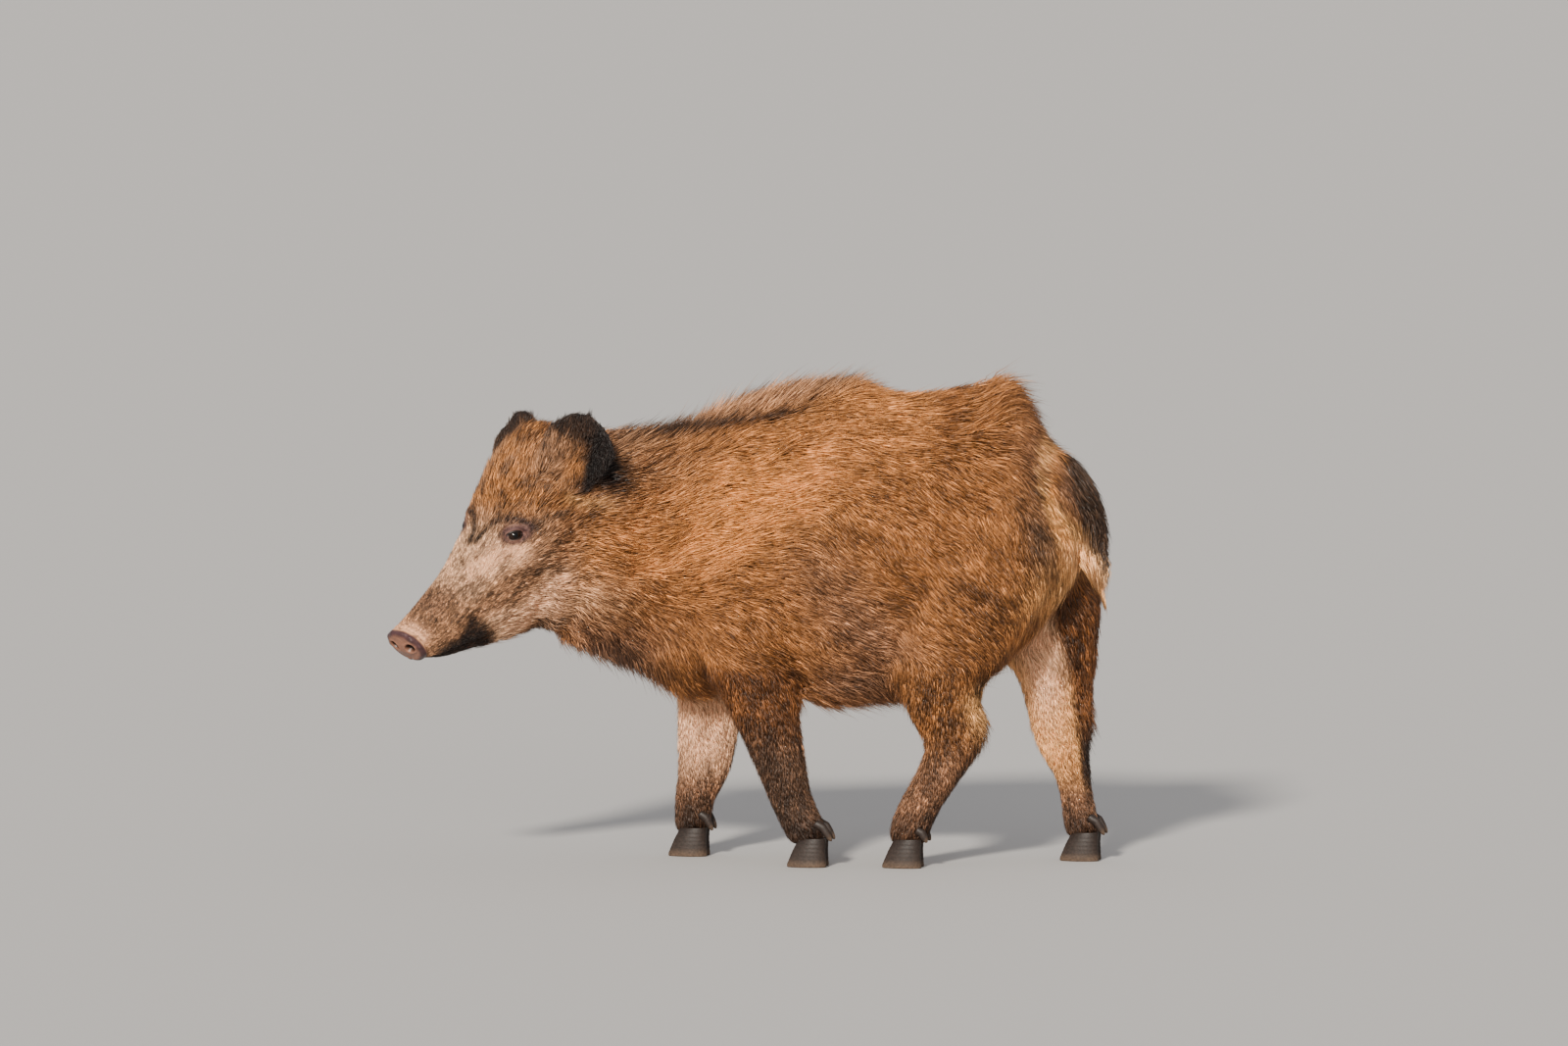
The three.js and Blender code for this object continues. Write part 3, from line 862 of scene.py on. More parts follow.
@dataclass
class Dewclaw(Claw):
    """A small blunt claw behind the foot, growing out of the leg and pointing down and back."""

    sides: int = 24
    rows: int = 16

    def rings(self) -> tuple[Array, Array]:
        """Rings from inside the leg out to the tip, fitted to the solid's box."""
        low, high = (np.array(c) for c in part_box(self.name))
        size, mid_y = high - low, (low[1] + high[1]) / 2
        t = np.linspace(0, 1, self.rows)
        x = low[0] + size[0] * np.interp(t, (0, 0.35, 1), (-0.20, 0.34, 0.90))
        z = high[2] - size[2] * np.interp(t, (0, 0.35, 1), (0.10, 0.32, 0.93))
        radius = 5.8 * MM * np.sqrt(np.maximum(1 - np.maximum(t - 0.3, 0) ** 2 / 0.5, 0.02))
        turn = np.linspace(0, 2 * math.pi, self.sides, endpoint=False)
        over = unit(np.array([0.6, 0.0, 0.8]))
        centre = np.stack([x, np.full_like(x, mid_y), z], axis=1)
        ring = np.outer(np.cos(turn), over) + np.outer(np.sin(turn), [0.0, 0.82, 0.0])
        return centre[:, None] + radius[:, None, None] * ring[None], t


# ---- the skin -------------------------------------------------------------------------------------------------


# Rings of an eyelid: how far outward on the lid, how high over the ball, and the share of the skin's own level.
LID_RINGS = (
    (-0.6, -0.4, 0), (0.0, 0.25, 0), (0.3, 0.8, 0), (0.9, 1.15, 0), (1.7, 1.2, 0),
    (2.6, 0.9, 0.12), (3.4, 0.5, 0.3), (4.3, 1.0, 0.5), (5.8, 1.4, 0.8), (7.5, 1.6, 1),
)
LID_SIDES = 72
LID_LAY = Lay(0.5, 3.6, 0.5, 15, 0)
BALL_EDGE = 0.88  # share of the ball's radius beyond which a lid falls straight away
LOOK_FROM = 40 * MM  # how far out the skin's own level is looked for

# The disc and its nostrils, millimetres out and up, seen from the front.
DISC_HALF = (33, 29)
NOSTRIL_AT, NOSTRIL_HALF = 13.5, (7.2, 6.8)


@dataclass
class Skin:
    """One skin over trunk, neck, head, ears, legs and tail."""

    body: BodyFrame
    head: HeadFrame
    voxel: float = 5.6  # millimetres
    seam: float = 0.4  # how far the solids grow to close the cuts between them
    relax: int = 6
    coronet: float = 50.0  # below this level the legs keep their ends
    seed: int = 4409
    shape: Surface = None
    outer: Array = None  # where each vertex lay on the outline
    member: dict = field(default_factory=dict)  # how far each vertex belongs to each part
    hard: Array = None  # number of the part that each vertex belongs to most
    coat: Coat = None

    # -- forming --

    def form(self) -> None:
        """Draws the skin from the solids and carves the face."""
        cad, owner = self.gather()
        outer = self.remesh(cad)
        outer.co = outer.blur(outer.co, self.relax, hold=1 - 0.8 * self.near_ears(self.head.local(outer.co)))
        outer = self.refine(outer)
        self.label(outer, cad, owner)
        lay = self.lay_of(outer)
        self.outer = outer.co.copy()
        self.shape = self.sink(outer, lay[:, DEPTH])
        nape = np.clip(5 * self.member[Part.HEAD] * self.member[Part.NECK], 0, 1)
        self.shape.co = self.shape.blur(self.shape.co, 30, 0.6, hold=self.shape.blur(nape, 6))
        self.carve()
        for side in (1.0, -1.0):
            lay = self.open_eye(EyePlan.make(self.head, side), lay)
        self.coat = self.fields(lay)
        log.info("skin: %d vertices, %d triangles", len(self.shape.co), len(self.shape.tri))

    def gather(self) -> tuple[Surface, Array]:
        """All solids of flesh as one surface.

        Returns:
            The surface, and the part that each triangle belongs to.
        """
        co, tri, owner, start = [], [], [], 0
        for number, part in enumerate(Part):
            piece = Surface.of_object(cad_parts[part.value]).welded()
            piece.co = piece.co + piece.normals() * self.seam * MM
            co.append(piece.co)
            tri.append(piece.tri + start)
            owner.append(np.full(len(piece.tri), number))
            start += len(piece.co)
        return Surface(np.concatenate(co), np.concatenate(tri)), np.concatenate(owner)

    def remesh(self, cad: Surface) -> Surface:
        """The solids as one closed mesh of even cells."""
        raw = mesh_object("skin_raw", cad)
        step = raw.modifiers.new("even", "REMESH")
        step.mode = "VOXEL"
        step.voxel_size = self.voxel * MM
        even = Surface.of_object(raw)
        bpy.data.objects.remove(raw)
        return even.largest()

    def refine(self, s: Surface) -> Surface:
        """Finer cells on the head, finer still on snout and round the eyes, and finest on the disc."""
        for limit in (self.near_head, self.near_face, self.near_disc):
            chosen = limit(self.head.local(s.co[s.tri].mean(axis=1)))
            s = s.split(chosen)
            s.co = s.blur(s.co, 2, hold=limit(self.head.local(s.co)).astype(float))
        return s

    @staticmethod
    def near_head(p: Array) -> Array:
        """The head from the disc to behind the cheeks, and the ears."""
        face = (p[:, 0] < 0.255) & (np.abs(p[:, 1]) < 0.10)
        ears = (p[:, 0] > 0.27) & (p[:, 0] < 0.46) & (np.abs(p[:, 1]) > 0.03) & (p[:, 2] > -0.03)
        return (face | ears) & (np.abs(p[:, 1]) < 0.16) & (p[:, 2] < 0.14) & (p[:, 2] > -0.17)

    @staticmethod
    def near_ears(p: Array) -> Array:
        """The ears, without their roots."""
        return smooth(p[:, 0], 0.30, 0.33) * smooth(p[:, 2], 0.0, 0.03) * smooth(np.abs(p[:, 1]), 0.03, 0.05)

    @staticmethod
    def near_face(p: Array) -> Array:
        """Snout, lips and the skin round the eyes."""
        snout = (p[:, 0] < 0.110) & (p[:, 2] > -0.050)
        eye = (np.hypot(p[:, 0] - 0.208, p[:, 2] - 0.004) < 0.028) & (np.abs(p[:, 1]) > 0.03)
        return (snout | eye) & (np.abs(p[:, 1]) < 0.09)

    @staticmethod
    def near_disc(p: Array) -> Array:
        """The disc with its nostrils."""
        return (p[:, 0] < 0.009) & (np.hypot(np.abs(p[:, 1]) - 0.0135, p[:, 2] - 0.003) < 0.0125)

    def label(self, s: Surface, cad: Surface, owner: Array) -> None:
        """Notes how far each vertex belongs to each part."""
        tree = cad.tree()
        near = np.array([tree.find_nearest(p)[2] for p in s.co.tolist()])
        index = owner[near]
        one = np.eye(len(Part))[index]
        soft = s.blur(one, 5)
        self.hard = index
        self.member = {part: soft[:, k] for k, part in enumerate(Part)}

    def group_of(self, *parts: Part) -> Array:
        """How far each vertex belongs to any of some parts."""
        return sum(self.member[p] for p in parts)

    def sink(self, s: Surface, depth: Array) -> Surface:
        """Moves the outline in by the depth of the coat, in small even steps."""
        steps = 16
        inner = Surface(s.co.copy(), s.tri)
        z = self.body.local(s.co)[:, 2]
        slack = smooth(depth, 1.0, 5.0)
        deep = smooth(depth, 12.0, 26.0)
        for _ in range(steps):
            n = inner.normals()
            n = unit(mix(n, unit(inner.blur(n, 14)), deep))
            n[:, 2] *= smooth(z, self.coronet * MM * 0.8, self.coronet * MM * 1.6)
            inner.co = inner.co - n * (depth * MM / steps)[:, None]
            inner.co = inner.blur(inner.co, 1, 0.2, hold=slack)
            inner.co = inner.blur(inner.co, 3, 0.6, hold=deep)
        foot = smooth(z, self.coronet * MM, 0.8 * self.coronet * MM)
        inner.co[:, 2] -= 4 * MM * foot
        return inner

    # -- face --

    def carve(self) -> None:
        """Brow, sockets, cheek, lips, snout folds, disc and nostrils."""
        s = self.shape
        p = self.head.local(s.co)
        n = s.normals()
        d, l, u = p[:, 0] / MM, np.abs(p[:, 1]) / MM, p[:, 2] / MM
        face = self.group_of(*HEAD_PARTS)
        rise = np.zeros(len(d))
        rise += 3.2 * hump(d - 0.5 * u, 212, 15) * hump(u, 13, 8) * smooth(l, 26, 42)  # brow
        rise -= 2.4 * hump(d, 196, 15) * hump(u, 2, 10) * smooth(l, 32, 46)  # before the eye
        rise += 2.6 * hump(d, 232, 34) * hump(u, -30, 15) * smooth(l, 40, 60)  # cheek bone
        rise -= 2.0 * hump(d, 150, 30) * hump(u, -10, 11) * smooth(l, 18, 32)  # hollow along the snout
        rise += 2.2 * hump(d, 82, 20) * hump(u, -18, 9) * smooth(l, 18, 28)  # root of the tusk
        rise -= 1.4 * hump(d, 105, 40) * hump(u, 3, 7) * smooth(l, 14, 24)  # edge of the nose bridge
        mouth = self.mouth(d)
        lips = smooth(d, 11, 16) * smooth(d, 108, 94) * smooth(l, 8, 15)
        rise += 2.0 * hump(u, mouth + 5.5, 4.5) * lips + 0.9 * hump(u, mouth - 7, 5) * lips
        rise -= 4.2 * hump(u, mouth, 1.6) * lips
        rise -= 1.5 * hump(d, 114, 8) * hump(u, -84, 10) * smooth(l, 16, 26)  # corner of the mouth
        for at, deep in ((17, 1.5), (25, 1.0), (34, 0.8), (44, 0.6), (55, 0.4)):
            rise -= deep * hump(d, at + 0.06 * (u - 5), 1.9) * smooth(u, -20, 0)  # folds behind the disc
        s.co = s.co + n * (rise * face * MM)[:, None]
        self.carve_disc()

    @staticmethod
    def mouth(d: Array) -> Array:
        """Level of the slit of the mouth at places back from the disc, millimetres."""
        return -26.5 - 0.56 * (d - 12)

    def carve_disc(self) -> None:
        """The flat disc with its raised rim, notch and two nostrils."""
        s = self.shape
        p = self.head.local(s.co)
        d, l, u = p[:, 0] / MM, p[:, 1] / MM, p[:, 2] / MM
        at_disc = smooth(d, 9, 4)
        r = np.hypot(l / DISC_HALF[0], u / DISC_HALF[1])
        back = np.zeros(len(d))
        back += 2.4 * hump(r, 0.60, 0.26) * at_disc  # dish inside the rim
        back += 1.2 * hump(l, 0, 2.5) * smooth(u, 4, -26) * at_disc  # notch to the lip
        for side in (-1, 1):
            hole = np.hypot((l - side * NOSTRIL_AT) / NOSTRIL_HALF[0], (u - 1.5 - 0.12 * np.abs(l)) / NOSTRIL_HALF[1])
            back += 12.0 * smooth(hole, 1.10, 0.55) * at_disc
            back -= 0.8 * hump(hole, 1.32, 0.22) * at_disc
        s.co = s.co - self.head.forward * (back * MM)[:, None]

    def open_eye(self, eye: EyePlan, lay: Array) -> Array:
        """Cuts the skin open over an eye and sets lids in it.

        Args:
            eye: the eye's plan.
            lay: coat numbers for each vertex so far.

        Returns:
            The coat numbers with rows for the lids.
        """
        s = self.shape
        p = eye.flat(s.co)
        reach = 8.5 * MM
        inside = ((p[:, 0] / (eye.long + reach)) ** 2 + (p[:, 1] / (eye.high_up + reach)) ** 2 < 1) & (p[:, 2] > 0)
        tree = s.tree()
        gone, loop = s.hole(inside)
        tri = s.tri[~gone]
        turns = np.linspace(-math.pi, math.pi, LID_SIDES, endpoint=False)
        rows = []
        corner = 2.6 * hump(np.abs(turns), math.pi, 0.42)  # the fold of pink skin in the inner corner
        for out, over, own in LID_RINGS:
            rim = eye.rim(turns, (out - corner * max(0.0, 1 - max(out, 0) / 3)) * MM)
            rho = np.linalg.norm(rim, axis=1)
            radius = eye.radius + over * MM
            edge = BALL_EDGE * radius
            level = np.sqrt(np.maximum(radius**2 - np.minimum(rho, edge) ** 2, 0)) - 0.9 * np.maximum(rho - edge, 0)
            if own:
                start = eye.solid(np.concatenate([rim, np.full((len(rim), 1), LOOK_FROM)], axis=1))
                hits = [tree.ray_cast(Vector(q), Vector(-eye.gaze), 1.5 * LOOK_FROM)[0] for q in start]
                skin = np.array([LOOK_FROM if h is None else eye.flat(np.array(h))[2] for h in hits])
                level = mix(level, skin, own)
            rows.append(eye.solid(np.concatenate([rim, level[:, None]], axis=1)))
        ring = np.concatenate(rows)
        first = len(s.co)
        last = first + (len(rows) - 1) * LID_SIDES
        edge_turn = np.arctan2(p[loop, 1], p[loop, 0])
        loop, edge_turn = (np.roll(v, -int(np.argmin(edge_turn))) for v in (loop, edge_turn))
        if np.diff(np.unwrap(edge_turn)).sum() < 0:
            loop, edge_turn = (np.roll(v[::-1], 1) for v in (loop, edge_turn))
        edge_turn = np.maximum.accumulate(np.unwrap(edge_turn))
        outer_turn = np.arctan2(*(eye.flat(rows[-1])[:, [1, 0]].T))
        outer_order = np.argsort(outer_turn)
        hem = zip_rings(outer_turn[outer_order], last + outer_order, edge_turn, loop)
        faces = np.concatenate([first + ring_bands(len(rows), LID_SIDES), hem])
        co = np.concatenate([s.co, ring])
        if (Surface(co, faces).face_cross() @ eye.gaze).sum() < 0:
            faces = faces[:, ::-1]
        self.shape = Surface(co, np.concatenate([tri, faces]))
        self.outer = np.concatenate([self.outer, ring])
        lid_lay = np.tile(LID_LAY.row(), (len(ring), 1))
        lid_lay[:, DENSITY] = 60 * smooth(np.repeat([own for _, _, own in LID_RINGS], LID_SIDES), 0.2, 0.7)
        for part in Part:
            self.member[part] = np.concatenate([self.member[part], np.full(len(ring), float(part is Part.HEAD))])
        self.hard = np.concatenate([self.hard, np.full(len(ring), list(Part).index(Part.HEAD))])
        return self.compact(np.concatenate([lay, lid_lay]))

    def compact(self, lay: Array) -> Array:
        """Drops vertices that no triangle uses, from the skin and from every field kept for it."""
        used = np.unique(self.shape.tri)
        number = np.full(len(self.shape.co), -1)
        number[used] = np.arange(len(used))
        self.shape = Surface(self.shape.co[used], number[self.shape.tri])
        self.outer, self.hard = self.outer[used], self.hard[used]
        self.member = {part: share[used] for part, share in self.member.items()}
        return lay[used]

    # -- coat fields --

    @staticmethod
    def mane(outer: Array, n: Array) -> Array:
        """Where the mane stands: a band along the top of neck and shoulder.

        Args:
            outer: places on the outline in body directions, millimetres.
            n: normals there.

        Returns:
            1 in the mane, 0 out of it.
        """
        x, z = outer[:, 0], outer[:, 2]
        edge = 566 + 0.27 * (x + 78)
        along = smooth(x, -225, -150) * smooth(x, 185, 130)
        return smooth(z, edge - 6, edge + 22) * along * smooth(n[:, 2], -0.1, 0.25)

    def lay_of(self, s: Surface) -> Array:
        """The make of the coat at each vertex of the outline.

        Args:
            s: the outline.

        Returns:
            Six numbers for each vertex, as Lay gives them.
        """
        b = self.body.local(s.co) / MM
        h = self.head.local(s.co) / MM
        n = s.normals()
        x, z = b[:, 0], b[:, 2]
        d, l, u = h[:, 0], np.abs(h[:, 1]), h[:, 2]
        lay = sum(self.member[part][:, None] * made.row() for part, made in PART_LAY.items())
        trunk = self.group_of(*TRUNK_PARTS)
        head = self.group_of(*HEAD_PARTS)
        legs = self.group_of(*FORE_PARTS, *HIND_PARTS)

        def over(made: Lay, weight: Array) -> None:
            """Lays one kind of coat over what is there."""
            nonlocal lay
            lay = mix(lay, made.row(), np.clip(weight, 0, 1))

        top = smooth(n[:, 2], 0.15, 0.75)
        over(Lay(13, 36, 1.35, 18, 22, 0.25), trunk * top * smooth(x, 160, 240))
        over(Lay(20, 44, 1.4, 28, 21, 0.7), trunk * smooth(z, 290, 225) * smooth(x, 30, 80) * smooth(x, 330, 250))
        over(Lay(19, 44, 1.4, 31, 21, 0.6), trunk * smooth(x, -60, -110) * smooth(z, 350, 300))
        over(Lay(27, 46, 1.3, 34, 26, 0.22), trunk * self.mane(outer=b, n=n))
        over(Lay(8, 36, 1.3, 7, 34, 0.25), self.member[Part.TAIL] * smooth(z, 430, 380))
        over(Lay(8, 25, 1.2, 20, 60, 0.2), self.member[Part.TAIL] * smooth(z, 400, 375))
        over(Lay(24, 48, 1.35, 42, 25, 0.3), trunk * smooth(n[:, 2], 0.05, 0.6) * hump(x, 322, 34))
        over(Lay(8, 28, 1.5, 14, 20, 0.2), trunk * smooth(x, 400, 430) * smooth(z, 560, 520))
        over(Lay(4.5, 14, 1.0, 14, 30, 0.28), legs * smooth(z, 190, 90))
        over(Lay(4.5, 26, 1.0, 8, 38, 0.3), legs * smooth(z, 76, 58))
        hocks = self.group_of(*HIND_PARTS)
        over(Lay(5, 30, 1.1, 30, 28, 0.4), hocks * hump(z, 200, 26) * smooth(n[:, 0], 0.2, 0.7))
        over(Lay(9, 27, 1.4, 20, 24, 0.35), head * smooth(d, 225, 290) * smooth(u, -30, 10))
        over(Lay(8, 22, 1.35, 17, 24, 0.3), head * smooth(d, 215, 280) * smooth(u, -10, -50))
        over(Lay(8, 22, 1.35, 20, 22, 0.4), head * smooth(u, -60, -95) * smooth(d, 60, 120))
        over(Lay(3.2, 11, 0.85, 14, 44, 0.30), head * smooth(d, 205, 165) * smooth(u, -90, -60))
        over(Lay(1.6, 7, 0.7, 14, 56, 0.30), head * smooth(d, 140, 80) * smooth(u, -80, -50))
        over(Lay(1.2, 4.5, 0.5, 12, 70, 0.2), head * hump(d, 206, 22) * hump(u, 1, 15) * smooth(l, 30, 45))
        over(Lay(0.5, 3.2, 0.5, 11, 46, 0.2), head * smooth(d, 34, 20) * smooth(u, -6, 4))
        over(Lay(0.2, 1, 0.5, 10, 0, 0.1), np.clip(self.member[Part.DISC] * 1.6, 0, 1))
        return s.blur(lay, 6)

    def fields(self, lay: Array) -> Coat:
        """The lie and colours of the coat over the finished skin."""
        s = self.shape
        n = s.normals()
        way = self.lie(n, lay)
        root, tip = self.tones(n)
        return Coat(lay, way, root, tip, self.pieces_of(n))

    def lie(self, n: Array, lay: Array) -> Array:
        """The direction in which the coat lies, along the skin.

        Args:
            n: skin normals.
            lay: coat numbers, whose frizz and length say how far the lie wanders.

        Returns:
            One unit vector for each vertex.
        """
        s = self.shape
        b = self.body.local(self.outer)
        h = self.head.local(s.co)
        flow = np.zeros((len(b), 2))
        total = np.full(len(b), 1e-9)
        for gx, gz, along, up in LIE:
            w = np.exp(-((b[:, 0] / MM - gx) ** 2 + (b[:, 2] / MM - gz) ** 2) / LIE_REACH**2) + 1e-7
            flow += w[:, None] * np.array([along, up])
            total += w
        flow /= total[:, None]
        rear = self.body.rearward(b[:, 0])
        up = np.array([0.0, 0.0, 1.0])
        way = rear * flow[:, :1] + up * flow[:, 1:]
        d, l, u = h[:, 0] / MM, h[:, 1] / MM, h[:, 2] / MM
        ones = np.ones(len(d))
        brow = smooth(u, -15, 15) * smooth(d, 150, 240)
        cheek = smooth(u, -20, -60) * smooth(d, 120, 200)
        on_head = self.head.way(ones, 0.12 * np.sign(l), 0.35 * brow - 0.45 * cheek)
        way = mix(way, on_head, np.clip(self.group_of(*HEAD_PARTS) * 1.2, 0, 1))
        for part, side in EAR_SIDES:
            back, out, rise = EAR_LENGTHWAYS
            ear = self.head.way(back * ones, out * side * ones, rise * ones)
            way = mix(way, ear, self.member[part])
        for part, lean in LEAN.items():
            way = mix(way, np.tile(np.array([lean, 0.0, -1.0]), (len(d), 1)), self.member[part])
        for rounds in (8, 4):
            way = unit(way - n * dot(way, n)[:, None])
            way = s.blur(way, rounds)
        way = unit(way - n * dot(way, n)[:, None])
        rng = np.random.default_rng(self.seed)
        turn = np.zeros(len(way))
        for rounds, share in ((8, 0.6), (40, 0.8)):
            drift = s.blur(rng.standard_normal(len(way)), rounds)
            turn += share * drift / drift.std()
        turn *= (0.07 + 0.42 * lay[:, FRIZZ]) * smooth(lay[:, LENGTH], 2, 26)
        return way * np.cos(turn)[:, None] + np.cross(n, way) * np.sin(turn)[:, None]

    def tones(self, n: Array) -> tuple[Array, Array]:
        """The markings, as hair colour at root and tip, with painted shade and painted sunlight laid among them.

        Args:
            n: skin normals.

        Returns:
            Root colour and tip colour for each vertex.
        """
        s = self.shape
        b = self.body.local(self.outer)
        h = self.head.local(s.co)
        x, y, z = b[:, 0] / MM, b[:, 1] / MM, b[:, 2] / MM
        d, l, u = h[:, 0] / MM, np.abs(h[:, 1]) / MM, h[:, 2] / MM
        count = len(x)
        root = np.tile(np.array(Tone.UMBER.value) * 1.3, (count, 1))
        tip = np.tile(np.array(Tone.TAN.value) * 0.9, (count, 1))

        def paint(dark: Tone, light: Tone, weight: Array) -> None:
            """Lays two tones over what is there."""
            nonlocal root, tip
            w = np.clip(weight, 0, 1)
            root, tip = mix(root, np.array(dark.value), w), mix(tip, np.array(light.value), w)

        for mark in BODY_MARKS:
            paint(mark.root, mark.tip, mark.weight(b[:, 0], b[:, 2]))
        trunk = self.group_of(*TRUNK_PARTS)
        paint(Tone.SABLE, Tone.ASH, trunk * self.mane(outer=b / MM, n=n) * 0.95)
        # near-black lower edge of the mane, with the shadow under the mane painted in
        paint(Tone.BLACK, Tone.SABLE, trunk * hump(z, 592 + 0.14 * x, 11) * smooth(x, -190, -120)
              * smooth(x, 130, 60) * 0.95)
        paint(Tone.UMBER, Tone.GOLD, trunk * smooth(n[:, 2], 0.1, 0.6) * hump(x, 330, 40))
        paint(Tone.SABLE, Tone.RUST, trunk * smooth(n[:, 2], 0.2, 0.6) * hump(x, 278, 24) * 0.8)
        self.paint_legs(paint, y, z, x, n)
        self.paint_head(paint, d, l, u)
        nape = trunk + self.member[Part.HEAD]
        # Behind the ear: black hair, with the shadow that the ear casts on the neck painted over it.
        behind = np.exp(-(((d - 362) / 25) ** 2) - ((u + 26) / 32) ** 2) * smooth(l, 40, 62)  # behind the ear
        paint(Tone.BLACK, Tone.BLACK, nape * np.clip(behind * 1.9, 0, 1))
        under, _ = along_path(np.stack([d, l, u], axis=1), ((300, 72, -12), (314, 80, -34), (330, 90, -58)))
        paint(Tone.MAUVE, Tone.CREAM, nape * np.exp(-((under / 8) ** 2)) * 0.8)
        self.paint_ears(paint, n)
        tail = self.member[Part.TAIL]
        hind = self.group_of(*HIND_PARTS)
        rear = np.clip(trunk + hind + tail, 0, 1)
        beyond = (x - 405) * 0.883 + (z - 495) * 0.472  # how far behind the line of the tail
        paint(Tone.BLACK, Tone.MAUVE, rear * smooth(beyond, 12, 24) * smooth(z, 385, 420) * smooth(z, 560, 500))
        paint(Tone.BLACK, Tone.SMOKE, tail)
        plume = x - np.interp(z, *TAIL_LINE)
        wide = np.interp(z, (340, 378, 411, 447, 500), (10, 16, 16, 12, 5))
        plumed = rear * smooth(y, 30, 15) * np.exp(-((plume / wide) ** 4))
        paint(Tone.AMBER, Tone.CREAM, plumed)
        paint(Tone.CREAM, Tone.PALE, plumed * smooth(z, 440, 400) * 0.7)
        return root, tip

    def paint_legs(self, paint: Paint, y: Array, z: Array, x: Array, n: Array) -> None:
        """Dark legs, pale inner sides on the right pair painted paler still as sunlit, painted shade on the rear of
        the right hind leg and thigh, dark feet.
        """
        fore = self.group_of(*FORE_PARTS)
        hind = self.group_of(*HIND_PARTS)
        inner = np.where(self.group_of(Part.FORE_RIGHT, Part.HIND_RIGHT) > 0.5, smooth(n[:, 1], 0.35, -0.35),
                         smooth(n[:, 1], -0.2, 0.6))
        paint(Tone.SABLE, Tone.RUST, fore)
        paint(Tone.SABLE, Tone.RUST, self.member[Part.FORE_LEFT] * smooth(n[:, 1], 0.3, -0.3) * 0.8)
        paint(Tone.SABLE, Tone.GOLD, hind)
        paint(Tone.SMOKE, Tone.MAUVE, (fore + hind) * smooth(z, 185, 115) * 0.85)
        paint(Tone.SABLE, Tone.SMOKE, self.member[Part.FORE_LEFT] * smooth(z, 215, 130) * 0.85)
        # pale hair on the inner sides of the right legs, painted paler still for the sun that falls on them
        paint(Tone.BLUSH, Tone.PALE, self.member[Part.FORE_RIGHT] * inner * smooth(z, 85, 165))
        paint(Tone.SAND, Tone.CREAM, self.member[Part.HIND_RIGHT] * inner * smooth(z, 80, 150))
        paint(Tone.RUST, Tone.SAND, self.group_of(Part.FORE_LEFT, Part.HIND_LEFT) * inner * 0.7 * smooth(z, 90, 150))
        # painted shade on the rear-facing side of the right hind leg
        paint(Tone.BLACK, Tone.SABLE, self.member[Part.HIND_RIGHT] * smooth(n[:, 0], 0.25, 0.7) * smooth(z, 60, 120))
        paint(Tone.BLACK, Tone.SABLE, self.member[Part.HIND_LEFT] * smooth(n[:, 0], 0.5, 0.9) * 0.8)
        paint(Tone.BLACK, Tone.SABLE, (fore + hind) * smooth(z, 86, 48) * 0.8)
        # painted sunlight on the inner far thigh, where the near haunch shades it
        painted_sunlight = np.exp(-(((x - 388) / 32) ** 2) - ((z - 275) / 78) ** 2) * smooth(n[:, 1], 0.3, -0.2)
        paint(Tone.BLUSH, Tone.PALE, painted_sunlight * smooth(y, -10, 15) * 1.4)
        edge = np.interp(z, (186, 268, 324, 380), (424, 412, 393, 380))  # where the pale inner thigh ends at the rear
        # painted shade on the rear of the right thigh, beyond its pale inner side
        dark = smooth(x - edge, -4, 16) * smooth(z, 150, 190) * smooth(z, 400, 360) * smooth(y, -10, 15)
        paint(Tone.SABLE, Tone.RUST, dark)
        paint(Tone.UMBER, Tone.CREAM, hind * hump(z, 205, 26) * smooth(n[:, 0], 0.2, 0.7) * smooth(y, 0, -20) * 0.8)

    def paint_head(self, paint: Paint, d: Array, l: Array, u: Array) -> None:
        """Golden brow, grizzled face, a dark brow stripe of painted shade in the fold over the eye, dark lips and jaw
        with painted shade under the upper lip, pale streaks on the cheek.
        """
        head = self.group_of(*HEAD_PARTS)
        at = np.stack([d, l, u], axis=1)

        def stroke(dark: Tone, light: Tone, wide: float, strength: float, *path: tuple[float, float, float]) -> None:
            """Draws a soft line through places back, out and up on either side."""
            far, _ = along_path(at, path)
            paint(dark, light, head * strength * np.exp(-((far / wide) ** 2)))

        paint(Tone.SMOKE, Tone.ASH, head)
        paint(Tone.UMBER, Tone.TAN, head * smooth(d - 0.25 * u, 235, 300) * smooth(u, 5, -30) * 0.6)
        paint(Tone.SABLE, Tone.TAN, head * smooth(d + u, 240, 270) * smooth(u, -44, -16))
        paint(Tone.BLACK, Tone.GREY, head * smooth(self.speckle(), 0.3, 1.7) * smooth(d + u, 240, 270) * 0.85)
        paint(Tone.SMOKE, Tone.ASH, head * smooth(d, 110, 150) * smooth(u, -20, -60) * smooth(d, 270, 220) * 0.5)
        paint(Tone.GREY, Tone.PALE, head * smooth(d, 70, 135) * smooth(d, 222, 185) * smooth(u, -30, -4) * 0.85)
        paint(Tone.SMOKE, Tone.ASH, head * smooth(d, 112, 70) * smooth(u, -36, -8) * 0.8)
        paint(Tone.SABLE, Tone.MAUVE, head * hump(d, 74, 22) * smooth(u, 0, 12) * 0.6)
        paint(Tone.SABLE, Tone.GREY, head * hump(d, 205, 26) * hump(u, -46, 14) * 0.4)
        stroke(Tone.BLUSH, Tone.PALE, 15, 1.0, (140, 26, 4), (172, 38, -1), (196, 52, -12))
        stroke(Tone.BLUSH, Tone.PALE, 17, 1.0, (130, 26, -93), (161, 32, -98), (195, 45, -94), (219, 55, -91))
        stroke(Tone.MAUVE, Tone.PALE, 12, 0.8, (112, 27, -56), (136, 32, -72), (150, 34, -84))
        stroke(Tone.BLUSH, Tone.PALE, 13, 0.9, (138, 17, -110), (172, 28, -116), (200, 46, -114))
        stroke(Tone.SMOKE, Tone.GREY, 5, 0.8, (234, 56, 0), (256, 62, -8), (286, 72, -26))
